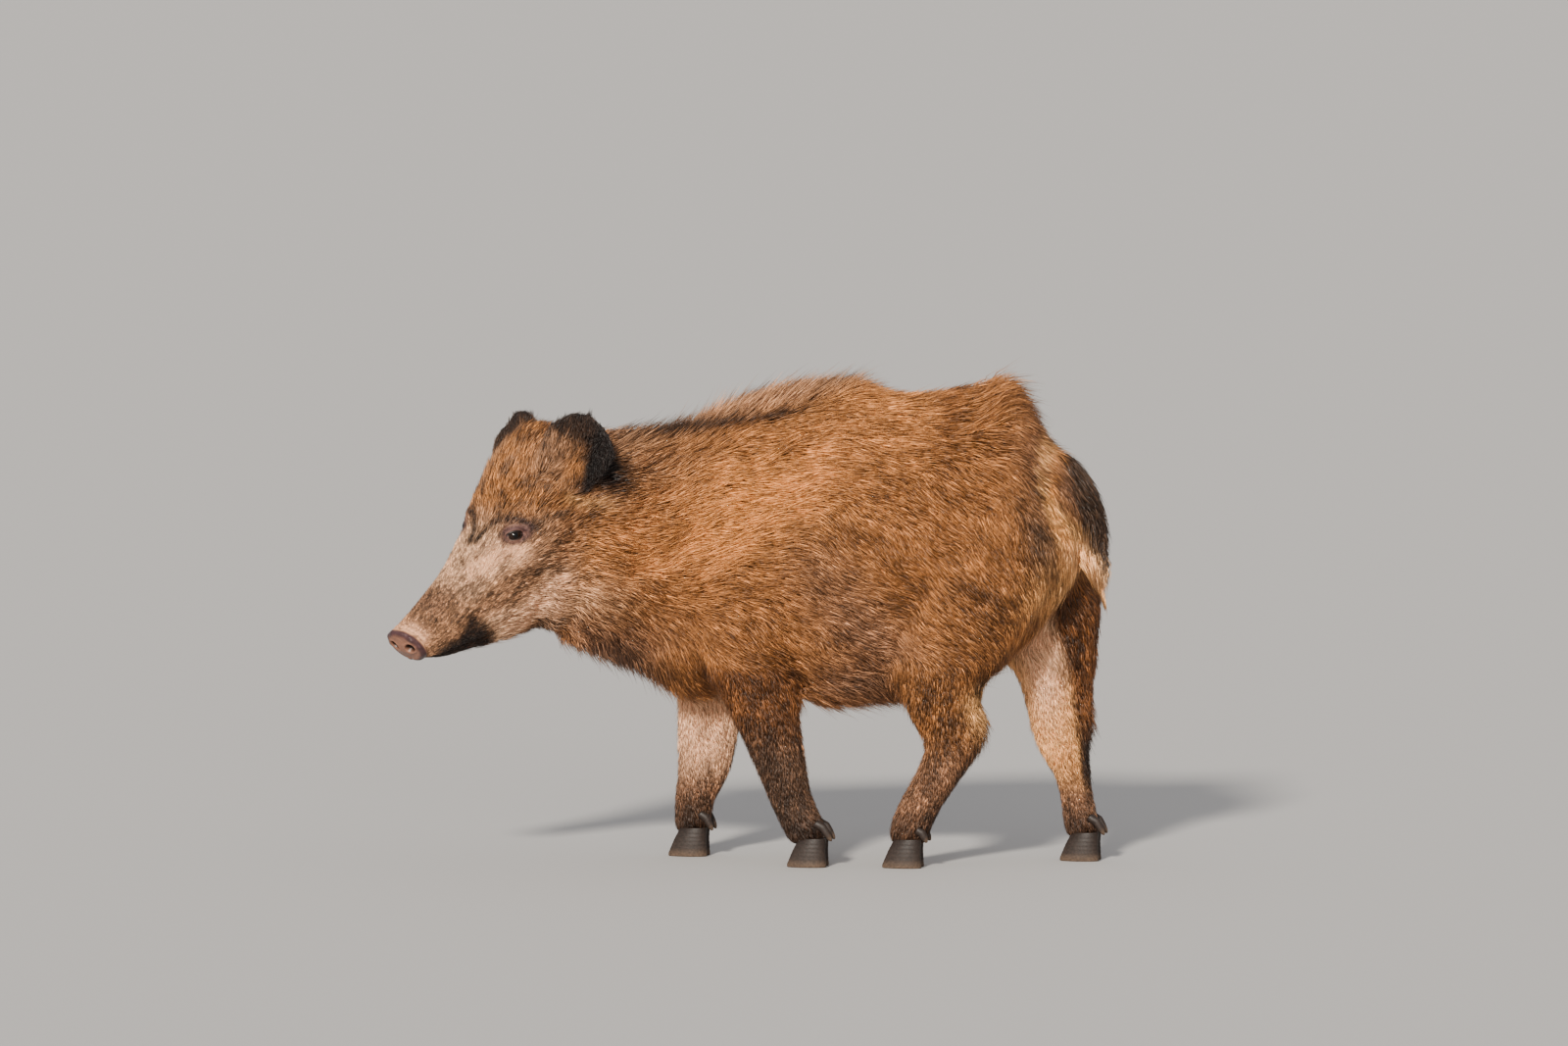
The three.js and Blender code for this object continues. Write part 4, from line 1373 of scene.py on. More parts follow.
        # the dark brow stripe: painted shade in the skin fold over the eye
        stroke(Tone.BLACK, Tone.BLACK, 6.2, 1.0, (182, 5, 14), (201, 9, 18), (217, 20, 19), (228, 34, 17))
        stroke(Tone.BLACK, Tone.BLACK, 6.4, 1.0, (224, 30, 18), (233, 48, 9), (234, 57, -1))
        # dark lips and jaw: dark skin and hair, with the shade under the upper lip painted in
        stroke(Tone.BLACK, Tone.SABLE, 11, 1.0, (90, 33, -37), (68, 29, -50))
        stroke(Tone.BLACK, Tone.SABLE, 14, 1.0, (84, 32, -52), (100, 30, -68))
        stroke(Tone.BLACK, Tone.BLACK, 13, 1.0, (38, 24, -38), (60, 27, -50), (98, 29, -72))
        jaw = smooth(u, self.mouth(d) + 7, self.mouth(d) - 5) * smooth(d, 132, 104) * smooth(d, 8, 16)
        paint(Tone.BLACK, Tone.SABLE, head * jaw)
        paint(Tone.SABLE, Tone.GREY, head * smooth(u, -126, -142) * 0.7)
        paint(Tone.BLUSH, Tone.ASH, head * smooth(d, 40, 24) * smooth(u, -8, 6) * 0.7)
        speck = self.speckle()
        paint(Tone.SABLE, Tone.SMOKE, head * smooth(speck, 0.6, 1.9) * smooth(d, 300, 240) * 0.7)
        stroke(Tone.SMOKE, Tone.ASH, 24, 0.85, (306, 40, 20), (330, 46, 34))
        for side in (1.0, -1.0):
            self.paint_eye(paint, EyePlan.make(self.head, side), head)
        disc = smooth(d, 13, 9) * smooth(u, -34, -24)
        r = np.hypot(l / DISC_HALF[0], u / DISC_HALF[1])
        paint(Tone.FLESH, Tone.FLESH, head * disc)
        paint(Tone.PLUM, Tone.PLUM, head * disc * smooth(r, 0.66, 0.86))
        hole = np.hypot((l - NOSTRIL_AT) / NOSTRIL_HALF[0], (u - 3.1) / NOSTRIL_HALF[1])
        paint(Tone.BLACK, Tone.BLACK, head * disc * smooth(hole, 1.15, 0.8))

    def speckle(self) -> Array:
        """Small soft patches at random over the skin, with mean 0 and deviation 1."""
        s = self.shape
        out = s.blur(np.random.default_rng(self.seed + 1).standard_normal(len(s.co)), 5)
        return out / out.std()

    def paint_eye(self, paint: Paint, eye: EyePlan, head: Array) -> None:
        """Mauve lids, a black rim, a dark line from the inner corner and a fold behind the outer one."""
        p = eye.flat(self.shape.co) / MM
        near = head * (p[:, 2] > 0)
        ring = np.hypot(p[:, 0] / (eye.long / MM), p[:, 1] / 5.6)
        lid = np.hypot((p[:, 0] - 1) / 24, p[:, 1] / 15)
        paint(Tone.LID, Tone.LID, near * smooth(lid, 1.15, 0.7) * 0.9)
        paint(Tone.PLUM, Tone.PLUM, near * hump(ring, 1.6, 0.35) * smooth(p[:, 1], 0, 3) * 0.8)
        inner = smooth(p[:, 0], -6.5, -9) * smooth(p[:, 1], 1.0, -1.0)
        paint(Tone.BLACK, Tone.BLACK, near * smooth(ring, 1.26, 1.10) * (1 - 0.8 * inner))
        for wide, path in ((1.5, ((-11, 1), (-14, -5), (-19, -13))), (1.1, ((12.5, 2), (12, -5), (8, -13)))):
            far, _ = along_path(p[:, :2], path)
            paint(Tone.BLACK, Tone.PLUM, near * np.exp(-((far / wide) ** 2)) * 0.85)

    def paint_ears(self, paint: Paint, n: Array) -> None:
        """Near-black ears, greyer at the root, with a tan middle and a golden front rim on the left one, whose black
        rear is black hair with painted shade.
        """
        h = self.head.local(self.shape.co) / MM
        for (part, side), root in zip(EAR_SIDES, ((298, 59, -6), (301, -48, -23))):
            ear = self.member[part]
            rel = h - np.array(root)
            along, across = (rel @ (np.array(line) * (1, side, 1)) for line in (EAR_LENGTHWAYS, EAR_ACROSS))
            paint(Tone.BLACK, Tone.SABLE, ear)
            if part is Part.EAR_RIGHT:
                paint(Tone.SABLE, Tone.SMOKE, ear * smooth(along, 84, 60) * 0.9)
                crown, _ = along_path(h, ((326, -64, 8), (346, -52, 18), (368, -38, 27)))
                paint(Tone.BLACK, Tone.SABLE, self.member[Part.HEAD] * np.exp(-((crown / 21) ** 4)))
                continue
            paint(Tone.SABLE, Tone.ASH, ear * smooth(along, 84, 62) * smooth(across, 18, 0) * 0.5)
            paint(Tone.SABLE, Tone.TAN, ear * hump(along, 36, 24) * hump(across, 8, 14) * 0.85)
            paint(Tone.UMBER, Tone.SAND, ear * smooth(across, -36, -50) * 0.8)
            # the left ear's rear: black hair, with the shade on the back of the ear painted in
            paint(Tone.BLACK, Tone.BLACK, ear * smooth(across, 20, 31))

    def pieces_of(self, n: Array) -> Array:
        """Which coat piece each vertex belongs to."""
        b, h = self.body.local(self.shape.co), self.head.local(self.shape.co)
        right, fore = b[:, 1] > 0, b[:, 0] < 0.13
        names = list(Part)

        def of(*parts: Part) -> Array:
            """Which vertices belong to any of some parts."""
            return np.isin(self.hard, [names.index(part) for part in parts])

        out = np.full(len(b), CoatPiece.FLANK_LEFT.number)
        for piece, chosen in (
            (CoatPiece.FLANK_RIGHT, right),
            (CoatPiece.SHOULDER_LEFT, fore & ~right),
            (CoatPiece.SHOULDER_RIGHT, fore & right),
            (CoatPiece.BACK, of(Part.TRUNK) & (n[:, 2] > 0.55)),
            (CoatPiece.BELLY, of(Part.TRUNK) & (n[:, 2] < -0.45)),
            (CoatPiece.NECK, of(Part.NECK)),
            (CoatPiece.HEAD, of(*HEAD_PARTS)),
            (CoatPiece.FACE, of(*HEAD_PARTS) & (h[:, 0] < 0.19)),
            (CoatPiece.EARS, of(Part.EAR_LEFT, Part.EAR_RIGHT)),
            (CoatPiece.FORELEGS, of(*FORE_PARTS)),
            (CoatPiece.HIND_LEGS, of(*HIND_PARTS)),
            (CoatPiece.TAIL, of(Part.TAIL)),
        ):
            out[chosen] = piece.number
        return out

    # -- dressing --

    def dress(self) -> bpy.types.Object:
        """Makes the piece, with its markings and material."""
        colour = mix(self.coat.root, self.coat.tip, np.full(len(self.coat.root), 0.25))
        bare = np.clip(1 - self.coat.lay[:, DENSITY] / 8, 0, 1)
        colour = mix(colour, self.coat.tip, bare)
        skin = mesh_object("skin", self.shape, colour)
        note(skin, "moist", bare * (self.shape.blur(bare, 2) > 0.05))
        skin.data.materials.append(SkinFinish().material())
        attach(skin, ROOT)
        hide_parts(*[part.value for part in Part])
        return skin


# ---- the coat -------------------------------------------------------------------------------------------------


class CoatPiece(Enum):
    """The pieces that the coat is made in."""

    SHOULDER_LEFT = "coat_shoulder_left"
    SHOULDER_RIGHT = "coat_shoulder_right"
    FLANK_LEFT = "coat_flank_left"
    FLANK_RIGHT = "coat_flank_right"
    BACK = "coat_back"
    BELLY = "coat_belly"
    NECK = "coat_neck"
    HEAD = "coat_head"
    FACE = "coat_face"
    EARS = "coat_ears"
    FORELEGS = "coat_forelegs"
    HIND_LEGS = "coat_hind_legs"
    TAIL = "coat_tail"

    @property
    def number(self) -> int:
        """Place in the list of pieces."""
        return list(CoatPiece).index(self)


@dataclass
class Pelt:
    """The tufts: where they root, how they curve and what colour they are."""

    skin: Skin
    seed: int = 20817
    sink: float = 1.2  # how deep a tuft starts, millimetres
    bend: float = 0.46  # where along its length a tuft bends
    lock: float = 7.5  # distance between lock centres
    gather: float = 0.60  # how far tips draw to their lock
    guards: float = 0.12  # share of long thin guard hairs
    patch: float = 0.003

    def roots(self, rng: np.random.Generator) -> dict[str, Array]:
        """Scatters roots evenly, as many as the coat's density asks.

        Args:
            rng: the seeded source of chance.

        Returns:
            Face, place, and every coat field at each root.
        """
        s, coat = self.skin.shape, self.skin.coat
        area = np.linalg.norm(s.face_cross(), axis=1) / 2
        density = coat.lay[s.tri, DENSITY].mean(axis=1)
        want = area * density * 1e4
        order = np.argsort(curve_order(s.co[s.tri].mean(axis=1)), kind="stable")
        total = np.cumsum(want[order])
        count = int(total[-1])
        marks = (np.arange(count) + rng.random(count)) * total[-1] / count
        face = order[np.minimum(np.searchsorted(total, marks), len(order) - 1)]
        r1, r2 = np.sqrt(rng.random(count)), rng.random(count)
        weight = np.stack([1 - r1, r1 * (1 - r2), r1 * r2], axis=1)
        at = s.tri[face]

        def pick(values: Array) -> Array:
            """A skin field at the roots."""
            return np.einsum("ij,ijk->ik", weight, values[at])

        return {
            "at": pick(s.co), "normal": unit(pick(s.normals())), "way": pick(coat.way), "lay": pick(coat.lay),
            "root": pick(coat.root), "tip": pick(coat.tip), "group": coat.group[at[:, 0]],
            "streak": pick(self.streaks(rng)),
        }

    def streaks(self, rng: np.random.Generator) -> Array:
        """Light and dark streaks along the lie: fine ones and broad ones."""
        s, way = self.skin.shape, self.skin.coat.way
        fine = s.comb(rng.standard_normal(len(s.co)), way, 9)
        broad = s.comb(s.blur(rng.standard_normal(len(s.co)), 3), way, 26, 5.0)
        return np.stack([fine / fine.std(), broad / broad.std()], axis=1)

    def grow(self) -> list[bpy.types.Object]:
        """Grows every tuft and makes the coat's pieces.

        Returns:
            The pieces.
        """
        rng = np.random.default_rng(self.seed)
        r = self.roots(rng)
        count = len(r["at"])
        s, coat = self.skin.shape, self.skin.coat
        normals = s.normals()
        tree = KDTree(len(s.co))
        for i, p in enumerate(s.co.tolist()):
            tree.insert(p, i)
        tree.balance()
        lay = r["lay"]
        frizz = lay[:, FRIZZ]
        guard = (rng.random(count) < self.guards) & (lay[:, LENGTH] > 15)
        length = lay[:, LENGTH] * MM * rng.uniform(0.72, 1.22, count) * np.where(guard, 1.32, 1.0)
        r["thin"] = np.where(guard, 0.62, 1.0)
        lift = np.radians(lay[:, LIFT]) * rng.uniform(0.55, 1.35, count)
        yaw = rng.standard_normal(count) * (0.10 + 0.34 * frizz)
        side = np.cross(r["normal"], r["way"])
        way = unit(r["way"] + side * np.tan(np.clip(yaw, -1.2, 1.2))[:, None])
        start = r["at"] - r["normal"] * self.sink * MM * np.minimum(1, lay[:, LENGTH] / 12)[:, None]
        reach = length * self.bend
        mid = r["at"] + (way * np.cos(lift * 1.25)[:, None]) * reach[:, None]
        mid, under_mid = self.settle(tree, mid, normals, reach * np.sin(lift * 1.25))
        rest = length * (1 - self.bend)
        sway = side * (rng.standard_normal(count) * 0.35 * frizz)[:, None]
        turn = unit(way + (coat.way[under_mid] - way) * 0.9 + sway)
        height = reach * np.sin(lift * 1.25) + rest * np.sin(lift * 0.75)
        tip = mid + turn * (rest * np.cos(lift * 0.75))[:, None]
        tip, under_tip = self.settle(tree, tip, normals, height * rng.uniform(0.85, 1.12, count))
        r["middle"], r["end"] = coat.tip[under_mid], coat.tip[under_tip]
        tip, r["kin"] = self.draw_together(rng, r["at"], tip)
        mid, tip = self.hang(r, length, mid, tip)
        return self.build(rng, r, start, mid, tip, normals[under_mid])

    def hang(self, r: dict[str, Array], length: Array, mid: Array, tip: Array) -> tuple[Array, Array]:
        """Lets the hair at the end of the tail hang free and close to a point.

        Args:
            r: root fields.
            length: length of each tuft.
            mid: the bends.
            tip: the ends.

        Returns:
            The bends and the ends.
        """
        body = self.skin.body
        tail = np.flatnonzero(r["group"] == CoatPiece.TAIL.number)
        at, reach = body.local(r["at"][tail]), length[tail][:, None]
        out = body.local(r["at"][tail] + r["normal"][tail] * MM) - at
        line = unit(np.array([0.40, 0.0, -0.92]) + 0.20 * out / MM)
        end = at + line * reach
        levels, places = TAIL_LINE
        end[:, 0] += 0.55 * (np.interp(end[:, 2] / MM, levels, places) * MM - end[:, 0])
        end[:, 1] += 0.55 * (at[:, 1].mean() - end[:, 1])
        free = smooth(at[:, 2] / MM, 455, 415)
        mid[tail] = mix(mid[tail], body.world(at + line * reach * self.bend), free)
        tip[tail] = mix(tip[tail], body.world(end), free)
        return mid, tip

    def settle(self, tree: KDTree, points: Array, normals: Array, height: Array) -> tuple[Array, Array]:
        """Sets points at given heights over the skin below them.

        Args:
            tree: the skin's vertices.
            points: where the hair has got to.
            normals: the skin's normals.
            height: the wanted heights.

        Returns:
            The points, and the number of the skin vertex under each.
        """
        near = np.fromiter((tree.find(p)[1] for p in points.tolist()), dtype=np.int64, count=len(points))
        n = normals[near]
        over = dot(points - self.skin.shape.co[near], n)
        return points + n * (height - over)[:, None], near

    def draw_together(self, rng: np.random.Generator, at: Array, tip: Array) -> tuple[Array, Array]:
        """Draws the tips of neighbouring tufts toward one another, so that they form locks.

        Args:
            rng: the seeded source of chance.
            at: the roots.
            tip: the tips.

        Returns:
            The tips, and a number of mean 0 and deviation 1 that the tufts of a lock share.
        """
        count = len(at)
        step = int(count / max(1, count * (3.1 / self.lock) ** 2))
        heads = rng.permutation(count)[:: max(step, 2)]
        tree = KDTree(len(heads))
        for i, h in enumerate(heads.tolist()):
            tree.insert(at[h].tolist(), i)
        tree.balance()
        near = heads[np.fromiter((tree.find(p)[1] for p in at.tolist()), dtype=np.int64, count=count)]
        spread = at - at[near]
        pull = self.gather * rng.uniform(0.3, 1.0, count)
        return tip - spread * pull[:, None], rng.standard_normal(count)[near]

    def build(self, rng: np.random.Generator, r: dict[str, Array], start: Array, mid: Array, tip: Array,
              mid_normal: Array) -> list[bpy.types.Object]:
        """Turns hair lines into closed, flattened, tapering tufts.

        Args:
            rng: the seeded source of chance.
            r: root fields.
            start: first point of each tuft.
            mid: the bend.
            tip: the end.
            mid_normal: skin normal under the bend.

        Returns:
            The coat's pieces.
        """
        lay, count = r["lay"], len(start)
        wide = lay[:, WIDTH] * MM * rng.uniform(0.7, 1.3, count) * r["thin"]
        thick = wide * 0.45
        run0, run1 = unit(mid - start), unit(tip - mid)
        axis = unit(run0 + run1)
        over = unit(np.cross(np.cross(axis, mid_normal), axis))
        out = np.cross(axis, over)
        points = np.stack([start, mid - out * wide[:, None] / 2 - over * thick[:, None] * 0.4,
                           mid + out * wide[:, None] / 2 - over * thick[:, None] * 0.4,
                           mid + over * thick[:, None] * 0.6, tip], axis=1)
        colour = self.colours(rng, r)
        where = Unwrap(self.skin)
        pieces = []
        for piece in CoatPiece:
            mine = r["group"] == piece.number
            pieces.append(self.join(piece, points[mine], colour[mine], where.place(piece, r["at"][mine])))
        return pieces

    def colours(self, rng: np.random.Generator, r: dict[str, Array]) -> Array:
        """Colour at root, bend and tip of each tuft.

        Returns:
            Three colours for each tuft.
        """
        count = len(r["at"])
        fine, broad = r["streak"][:, 0], r["streak"][:, 1]
        close = smooth(r["lay"][:, LENGTH], 24, 12)  # fine streaks count for most where the coat is short
        kin = r["kin"]
        shade = np.exp(0.30 * rng.standard_normal(count) + 0.24 * kin + (0.08 + 0.14 * close) * fine + 0.05 * broad)
        fair = np.clip(0.66 + 0.16 * kin + (0.10 + 0.12 * close) * fine + 0.06 * broad
                       + 0.30 * rng.standard_normal(count), 0, 1)
        root = r["root"] * shade[:, None]
        tip = mix(mix(r["root"], r["end"], np.full(count, 0.3)), r["end"] * 1.15, fair) * shade[:, None]
        near = mix(mix(r["root"], r["middle"], np.full(count, 0.3)), r["middle"] * 1.1, fair) * shade[:, None]
        mid = mix(root, near, np.clip(0.42 + 0.36 * fair, 0, 1))
        pale = rng.random(count) < 0.05
        tip[pale] = mix(tip[pale], r["end"][pale] * 1.4 + 0.04, np.full(pale.sum(), 0.6))
        out = np.stack([root, mid, tip], axis=1)
        return out / np.maximum(out.max(axis=2, keepdims=True), 1.0)

    def join(self, piece: CoatPiece, points: Array, colour: Array, uv: Array) -> bpy.types.Object:
        """Joins the tufts of one piece into one mesh.

        Args:
            piece: which piece.
            points: root, left, right, ridge and tip of each tuft.
            colour: three colours for each tuft.
            uv: each root's place on the flat map.

        Returns:
            The piece.
        """
        spike = np.array([[0, 1, 2], [0, 2, 3], [0, 3, 1], [4, 2, 1], [4, 3, 2], [4, 1, 3]])
        tri = (np.arange(len(points))[:, None, None] * 5 + spike).reshape(-1, 3)
        shape = Surface(points.reshape(-1, 3), tri)
        obj = mesh_object(piece.value, shape, colour[:, [0, 1, 1, 1, 2]].reshape(-1, 3))
        spot = np.array([[0, -1], [-1, -0.1], [1, -0.1], [0, 0.2], [0, 1]]) * self.patch / 2
        flat = (uv[:, None, :] + spot).reshape(-1, 2)
        layer = obj.data.uv_layers.new(name=BAKE_MAP)
        layer.uv.foreach_set("vector", flat[tri.ravel()].astype(np.float32).ravel())
        obj.data.materials.append(HairFinish().material())
        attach(obj, ROOT)
        log.info("%s: %d tufts, %d triangles", piece.value, len(points), len(tri))
        return obj


def curve_order(points: Array) -> Array:
    """Keys that put places near one another in space near one another in a list."""
    low, high = points.min(axis=0), points.max(axis=0)
    cell = ((points - low) / (high - low).max() * 1023).astype(np.int64)
    key = np.zeros(len(points), dtype=np.int64)
    for bit in range(10):
        for axis in range(3):
            key |= ((cell[:, axis] >> bit) & 1) << (3 * bit + axis)
    return key


@dataclass
class Unwrap:
    """Lays the skin's regions out flat, one map for each coat piece."""

    skin: Skin
    margin: float = 0.02
    leg_out: float = 0.072  # how far a leg's middle lies from the middle of the body

    def place(self, piece: CoatPiece, at: Array) -> Array:
        """Places on the flat map of a piece.

        Args:
            piece: the coat piece.
            at: places on the skin.

        Returns:
            Two numbers between 0 and 1 for each place.
        """
        b, h = self.skin.body.local(at), self.skin.head.local(at)
        if piece in (CoatPiece.HEAD, CoatPiece.FACE):
            flat = np.stack([np.arctan2(h[:, 1], h[:, 2] + 0.035), h[:, 0]], axis=1)
        elif piece is CoatPiece.EARS:
            along = h @ np.array([0.857, 0.0, 0.514])
            across = np.abs(h[:, 1]) * 0.643 + h[:, 0] * 0.394 - h[:, 2] * 0.656
            flat = np.stack([across + 0.16 * (h[:, 1] > 0), along], axis=1)
        elif piece in (CoatPiece.FORELEGS, CoatPiece.HIND_LEGS):
            right = b[:, 1] > 0
            out = b[:, 1] - np.where(right, self.leg_out, -self.leg_out)
            turn = np.arctan2(out, b[:, 0] - self.leg_line(piece, right, b[:, 2]))
            flat = np.stack([turn + 7.0 * right, b[:, 2]], axis=1)
        elif piece in (CoatPiece.BACK, CoatPiece.BELLY):
            flat = b[:, :2]
        elif piece is CoatPiece.NECK:
            flat = np.stack([np.arctan2(b[:, 1] + 0.05, b[:, 2] - 0.41), b[:, 0]], axis=1)
        elif piece is CoatPiece.TAIL:
            flat = np.stack([np.arctan2(b[:, 1], b[:, 0] - 0.44), b[:, 2]], axis=1)
        else:
            flat = np.stack([b[:, 0], b[:, 2]], axis=1)
        low, high = flat.min(axis=0), flat.max(axis=0)
        return self.margin + (flat - low) / (high - low) * (1 - 2 * self.margin)

    @staticmethod
    def leg_line(piece: CoatPiece, right: Array, z: Array) -> Array:
        """The middle of a leg at each level."""
        if piece is CoatPiece.FORELEGS:
            return np.where(right, -0.088 + 0.12 * z, 0.105 - 0.36 * z)
        return np.where(right, 0.44 - 0.16 * z, 0.21 + 0.30 * z)


# ---- finishes -------------------------------------------------------------------------------------------------


def socket(tree: bpy.types.NodeTree, name: str, way: str, kind: str = "NodeSocketFloat", value: float = 0.0) -> None:
    """Adds a named input or output to a node group."""
    made = tree.interface.new_socket(name=name, in_out=way, socket_type=kind)
    if kind == "NodeSocketFloat":
        made.default_value = value


def new_node(tree: bpy.types.NodeTree, kind: str, inputs: dict | None = None, operation: str = "") -> bpy.types.Node:
    """Adds a shader node.

    Args:
        tree: the tree it goes into.
        kind: the kind of node.
        inputs: for each input, by name or number, the value it holds or the output that feeds it.
        operation: what a math node does.

    Returns:
        The node.
    """
    node = tree.nodes.new(f"ShaderNode{kind}")
    if operation:
        node.operation = operation
    for name, source in (inputs or {}).items():
        if isinstance(source, bpy.types.NodeSocket):
            tree.links.new(source, node.inputs[name])
        else:
            node.inputs[name].default_value = source
    return node


def grain_group() -> bpy.types.NodeTree:
    """Shared effect: fine and broad mottling of a colour, by place on the animal.

    Returns:
        The node group, made once.
    """
    if "mottle" in bpy.data.node_groups:
        return bpy.data.node_groups["mottle"]
    tree = bpy.data.node_groups.new("mottle", "ShaderNodeTree")
    socket(tree, "Color", "INPUT", "NodeSocketColor")
    socket(tree, "Scale", "INPUT", value=200.0)
    socket(tree, "Amount", "INPUT", value=0.2)
    socket(tree, "Color", "OUTPUT", "NodeSocketColor")
    socket(tree, "Height", "OUTPUT")
    nodes, links = tree.nodes, tree.links
    start, end = nodes.new("NodeGroupInput"), nodes.new("NodeGroupOutput")
    place = new_node(tree, "TexCoord").outputs["Object"]
    noise = new_node(tree, "TexNoise", {
        "Detail": 4.0, "Roughness": 0.65, "Vector": place, "Scale": start.outputs["Scale"]})
    spread = new_node(tree, "MapRange", {
        "From Min": 0.3, "From Max": 0.7, "To Min": -1.0, "To Max": 1.0, "Value": noise.outputs["Fac"]})
    sized = new_node(tree, "Math", {0: spread.outputs["Result"], 1: start.outputs["Amount"]}, "MULTIPLY")
    gain = new_node(tree, "Math", {0: sized.outputs[0], 1: 1.0}, "ADD")
    tint = new_node(tree, "VectorMath", {0: start.outputs["Color"], "Scale": gain.outputs[0]}, "SCALE")
    links.new(tint.outputs["Vector"], end.inputs["Color"])
    links.new(noise.outputs["Fac"], end.inputs["Height"])
    return tree


@dataclass(frozen=True)
class Finish:
    """What the finishes share: a name and a shader to link into."""

    name: str

    def material(self) -> bpy.types.Material:
        """The material, made once."""
        if self.name in bpy.data.materials:
            return bpy.data.materials[self.name]
        mat = bpy.data.materials.new(self.name)
        mat.use_nodes = True
        self.dress(mat.node_tree, mat.node_tree.nodes["Principled BSDF"])
        return mat

    def dress(self, tree: bpy.types.NodeTree, shader: bpy.types.Node) -> None:
        """Sets the shader; each finish has its own."""
        raise NotImplementedError

    @staticmethod
    def mottle(tree: bpy.types.NodeTree, colour: bpy.types.NodeSocket, scale: float, amount: float) -> bpy.types.Node:
        """Places the mottle group on a colour."""
        node = tree.nodes.new("ShaderNodeGroup")
        node.node_tree = grain_group()
        node.inputs["Scale"].default_value = scale
        node.inputs["Amount"].default_value = amount
        tree.links.new(colour, node.inputs["Color"])
        return node

    @staticmethod
    def attribute(tree: bpy.types.NodeTree, name: str) -> bpy.types.Node:
        """A node that reads a named attribute."""
        node = tree.nodes.new("ShaderNodeAttribute")
        node.attribute_name = name
        return node

    @staticmethod
    def bump(tree: bpy.types.NodeTree, shader: bpy.types.Node, height: bpy.types.NodeSocket, strength: float,
             distance: float) -> None:
        """Feeds a height into the shader's normal."""
        node = new_node(tree, "Bump", {"Strength": strength, "Distance": distance, "Height": height})
        tree.links.new(node.outputs["Normal"], shader.inputs["Normal"])


@dataclass(frozen=True)
class HairFinish(Finish):
    """Coarse hair: its own colours with fine darker and lighter grain."""

    name: str = "boar_hair"
    roughness: float = 0.46

    def dress(self, tree: bpy.types.NodeTree, shader: bpy.types.Node) -> None:
        """Hair colour, mottled, with a low gloss."""
        tone = self.attribute(tree, HAIR)
        grain = self.mottle(tree, tone.outputs["Color"], 700.0, 0.28)
        tree.links.new(grain.outputs["Color"], shader.inputs["Base Color"])
        shader.inputs["Roughness"].default_value = self.roughness
        shader.inputs["Specular IOR Level"].default_value = 0.4


@dataclass(frozen=True)
class SkinFinish(Finish):
    """Skin under the coat, and bare moist skin on disc, lips and lids."""

    name: str = "boar_skin"

    def dress(self, tree: bpy.types.NodeTree, shader: bpy.types.Node) -> None:
        """Skin colour, mottled, pored, and glossy where it is moist."""
        tone = self.attribute(tree, HAIR)
        grain = self.mottle(tree, tone.outputs["Color"], 260.0, 0.30)
        tree.links.new(grain.outputs["Color"], shader.inputs["Base Color"])
        moist = self.attribute(tree, "moist")
        gloss = new_node(tree, "MapRange", {"To Min": 0.72, "To Max": 0.40, "Value": moist.outputs["Fac"]})
        tree.links.new(gloss.outputs["Result"], shader.inputs["Roughness"])
        place = new_node(tree, "TexCoord").outputs["Object"]
        pores = new_node(tree, "TexVoronoi", {"Scale": 700.0, "Vector": place})
        both = new_node(tree, "Math", {0: pores.outputs["Distance"], 1: grain.outputs["Height"]}, "ADD")
        shader.inputs["Specular IOR Level"].default_value = 0.32
        self.bump(tree, shader, both.outputs[0], 0.3, 0.35 * MM)


@dataclass(frozen=True)
class HornFinish(Finish):
    """Dark horn: growth rings, fine grain along the wall, paler and rougher toward the ground."""

    name: str = "boar_horn"

    def dress(self, tree: bpy.types.NodeTree, shader: bpy.types.Node) -> None:
        """Colour and relief by the distance from the coronet."""
        down = self.attribute(tree, "down")
        ramp = new_node(tree, "ValToRGB", {"Fac": down.outputs["Fac"]})
        stops = ramp.color_ramp.elements
        stops[0].position, stops[0].color = 0.0, (0.014, 0.009, 0.007, 1)
        stops[1].position, stops[1].color = 1.0, (0.075, 0.047, 0.030, 1)
        middle = stops.new(0.7)
        middle.color = (0.020, 0.013, 0.010, 1)
        grain = self.mottle(tree, ramp.outputs["Color"], 350.0, 0.45)
        tree.links.new(grain.outputs["Color"], shader.inputs["Base Color"])
        rough = new_node(tree, "MapRange", {"To Min": 0.45, "To Max": 0.75, "Value": down.outputs["Fac"]})
        tree.links.new(rough.outputs["Result"], shader.inputs["Roughness"])
        shader.inputs["Specular IOR Level"].default_value = 0.25
        self.bump(tree, shader, grain.outputs["Height"], 0.6, 0.4 * MM)


